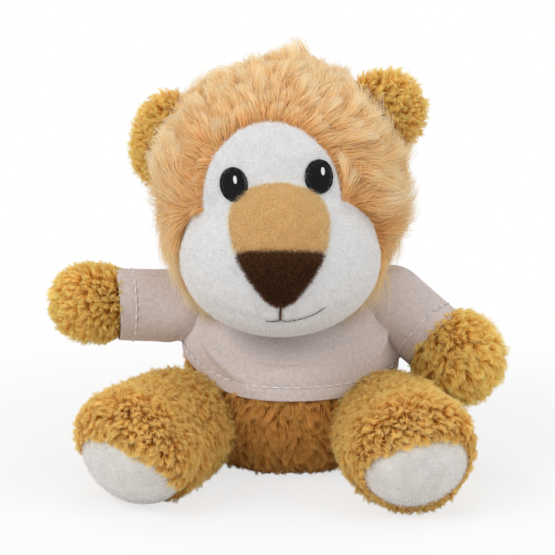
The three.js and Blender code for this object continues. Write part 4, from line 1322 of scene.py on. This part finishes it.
# Ears
# Flat stuffed ovals of the curly golden plush, cupped in front.
# Each is sewn to the head through the mane.
ears = {
    "right": {"aim": (-0.86, 0.3, 0.28), "turn": -38, "width": 1.28, "height": 0.82},
    "left": {"aim": (0.77, 0.04, 0.54), "turn": 12, "width": 1.04, "height": 0.9},
}
ear_half = np.array([14.5, 6, 16]) * mm
ear_inset = 0.6 * mm
ear_cup = 1.2 * mm
ear_bare = 2 * mm
ear_steps = 36
ear_sides = 64
ear_swirl = 5 * mm
ear_coat = dict(tufted, length=4.2 * mm, curl=0.7 * mm, turns=1.4, per_lock=18, per_mm2=12)
for number, (side, ear) in enumerate(ears.items()):
    out = unit(np.array(ear["aim"]))
    turn = np.radians(ear["turn"])
    across = unit(np.cross(out, [np.sin(turn), -np.cos(turn), 0]))
    axes = np.stack([across, unit(np.cross(out, across)), out])
    half = ear_half * [ear["width"], 1, ear["height"]] - curly_backing * np.array([1, 0.8, 1])
    rings = turned(oval_profile(1, 1, ear_steps), ear_sides)
    local = rings * half
    local[..., 1] -= ear_cup * (1 - rings[..., 0] ** 2 - rings[..., 2] ** 2)
    skin = skin_of(local @ axes + head_at + out * (head_radius - ear_inset))
    make_piece(f"ear_{side}_plush", skin, f"ear_{side}", golden_backing, "golden_plush", f"ear_{side}",
               padding=0.5)
    planted = planted_where(
        skin, ear_coat, 91 + number, lambda at: np.linalg.norm(at - head_at, axis=1) > head_radius - ear_bare
    )
    flow = out + 0.7 * swirled(planted[0], ear_swirl, seed=101 + 3 * number)
    # the ear's pile takes the lighter copy, with its painted light
    grow_coat(f"ear_{side}_fur", f"ear_{side}", planted, flow, ear_coat, golden_painted_light,
              seed=94 + number)

# Stage
# A plain pale floor, soft lamps above and in front, and the photograph's viewpoint.
# Past the lion's soft shadow the floor brightens into the white surroundings.
floor_half = 3.0
shadow_reach = (0.08, 0.22)
floor_glow = (0.72, 1.0)
room_light = 0.42
lamp_aim = (0, 0, 0.07)
lamps = {
    "key_lamp": {"at": (-0.75, -0.6, 0.75), "size": 0.7, "power": 5.4},
    "fill_lamp": {"at": (0.85, -0.55, 0.65), "size": 0.7, "power": 3.4},
    "top_lamp": {"at": (0.0, 0.1, 1.2), "size": 0.9, "power": 3.0},
}
camera_at = (-0.0019, -0.7779, 0.2518)
camera_aim = (-0.0019, 0, 0.065)
photo_half_px = 277.5
focal_px = 2309

floor_mesh = bpy.data.meshes.new("floor")
floor_corners = [(x * floor_half, y * floor_half, 0) for x, y in ((-1, -1), (1, -1), (1, 1), (-1, 1))]
floor_mesh.from_pydata(floor_corners, [], [(0, 1, 2, 3)])
add_object("floor", floor_mesh)
paper, tree, shader = new_material("paper", rough=0.9, specular=0.0)
shader.inputs["Base Color"].default_value = (0.93, 0.93, 0.93, 1)
white = add_node(tree, "Emission", {"Color": (1, 1, 1, 1), "Strength": 1.0})
where = add_node(tree, "TexCoord", {}).outputs["Object"]
away = add_node(tree, "VectorMath", {0: where}, operation="LENGTH").outputs["Value"]
ends = {0: away, 1: shadow_reach[0], 2: shadow_reach[1], 3: floor_glow[0], 4: floor_glow[1]}
glow = add_node(tree, "MapRange", ends, interpolation_type="SMOOTHSTEP").outputs[0]
rays = add_node(tree, "LightPath", {}).outputs
share = calculated(tree, "MULTIPLY", rays["Is Camera Ray"], glow)
both = add_node(tree, "MixShader", {0: share, 1: shader.outputs[0], 2: white.outputs[0]})
set_inputs(tree, tree.nodes["Material Output"], {"Surface": both.outputs[0]})
floor_mesh.materials.append(paper)

scene = bpy.context.scene
scene.world = bpy.data.worlds.new("studio")
scene.world.use_nodes = True
tree = scene.world.node_tree
rays = add_node(tree, "LightPath", {}).outputs
seen = calculated(tree, "MAXIMUM", rays["Is Camera Ray"], rays["Is Glossy Ray"])
seen = calculated(tree, "MAXIMUM", seen, rays["Is Transmission Ray"])
strength = add_node(tree, "MapRange", {0: seen, 3: room_light, 4: 1.0}).outputs[0]
set_inputs(tree, tree.nodes["Background"], {"Strength": strength, "Color": (1, 1, 1, 1)})


def aimed(item, at, aim):
    item.location = at
    item.rotation_euler = (Vector(aim) - Vector(at)).to_track_quat("-Z", "Y").to_euler()


for name, lamp in lamps.items():
    light = bpy.data.lights.new(name, "AREA")
    light.shape = "DISK"
    light.size = lamp["size"]
    light.energy = lamp["power"]
    aimed(add_object(name, light), lamp["at"], lamp_aim)

camera_data = bpy.data.cameras.new("camera")
camera_data.sensor_fit = "HORIZONTAL"
camera_data.angle = 2 * np.arctan(photo_half_px / focal_px)
camera_data.clip_start = 0.05
scene.camera = add_object("camera", camera_data)
aimed(scene.camera, camera_at, camera_aim)
scene.view_settings.view_transform = "Standard"
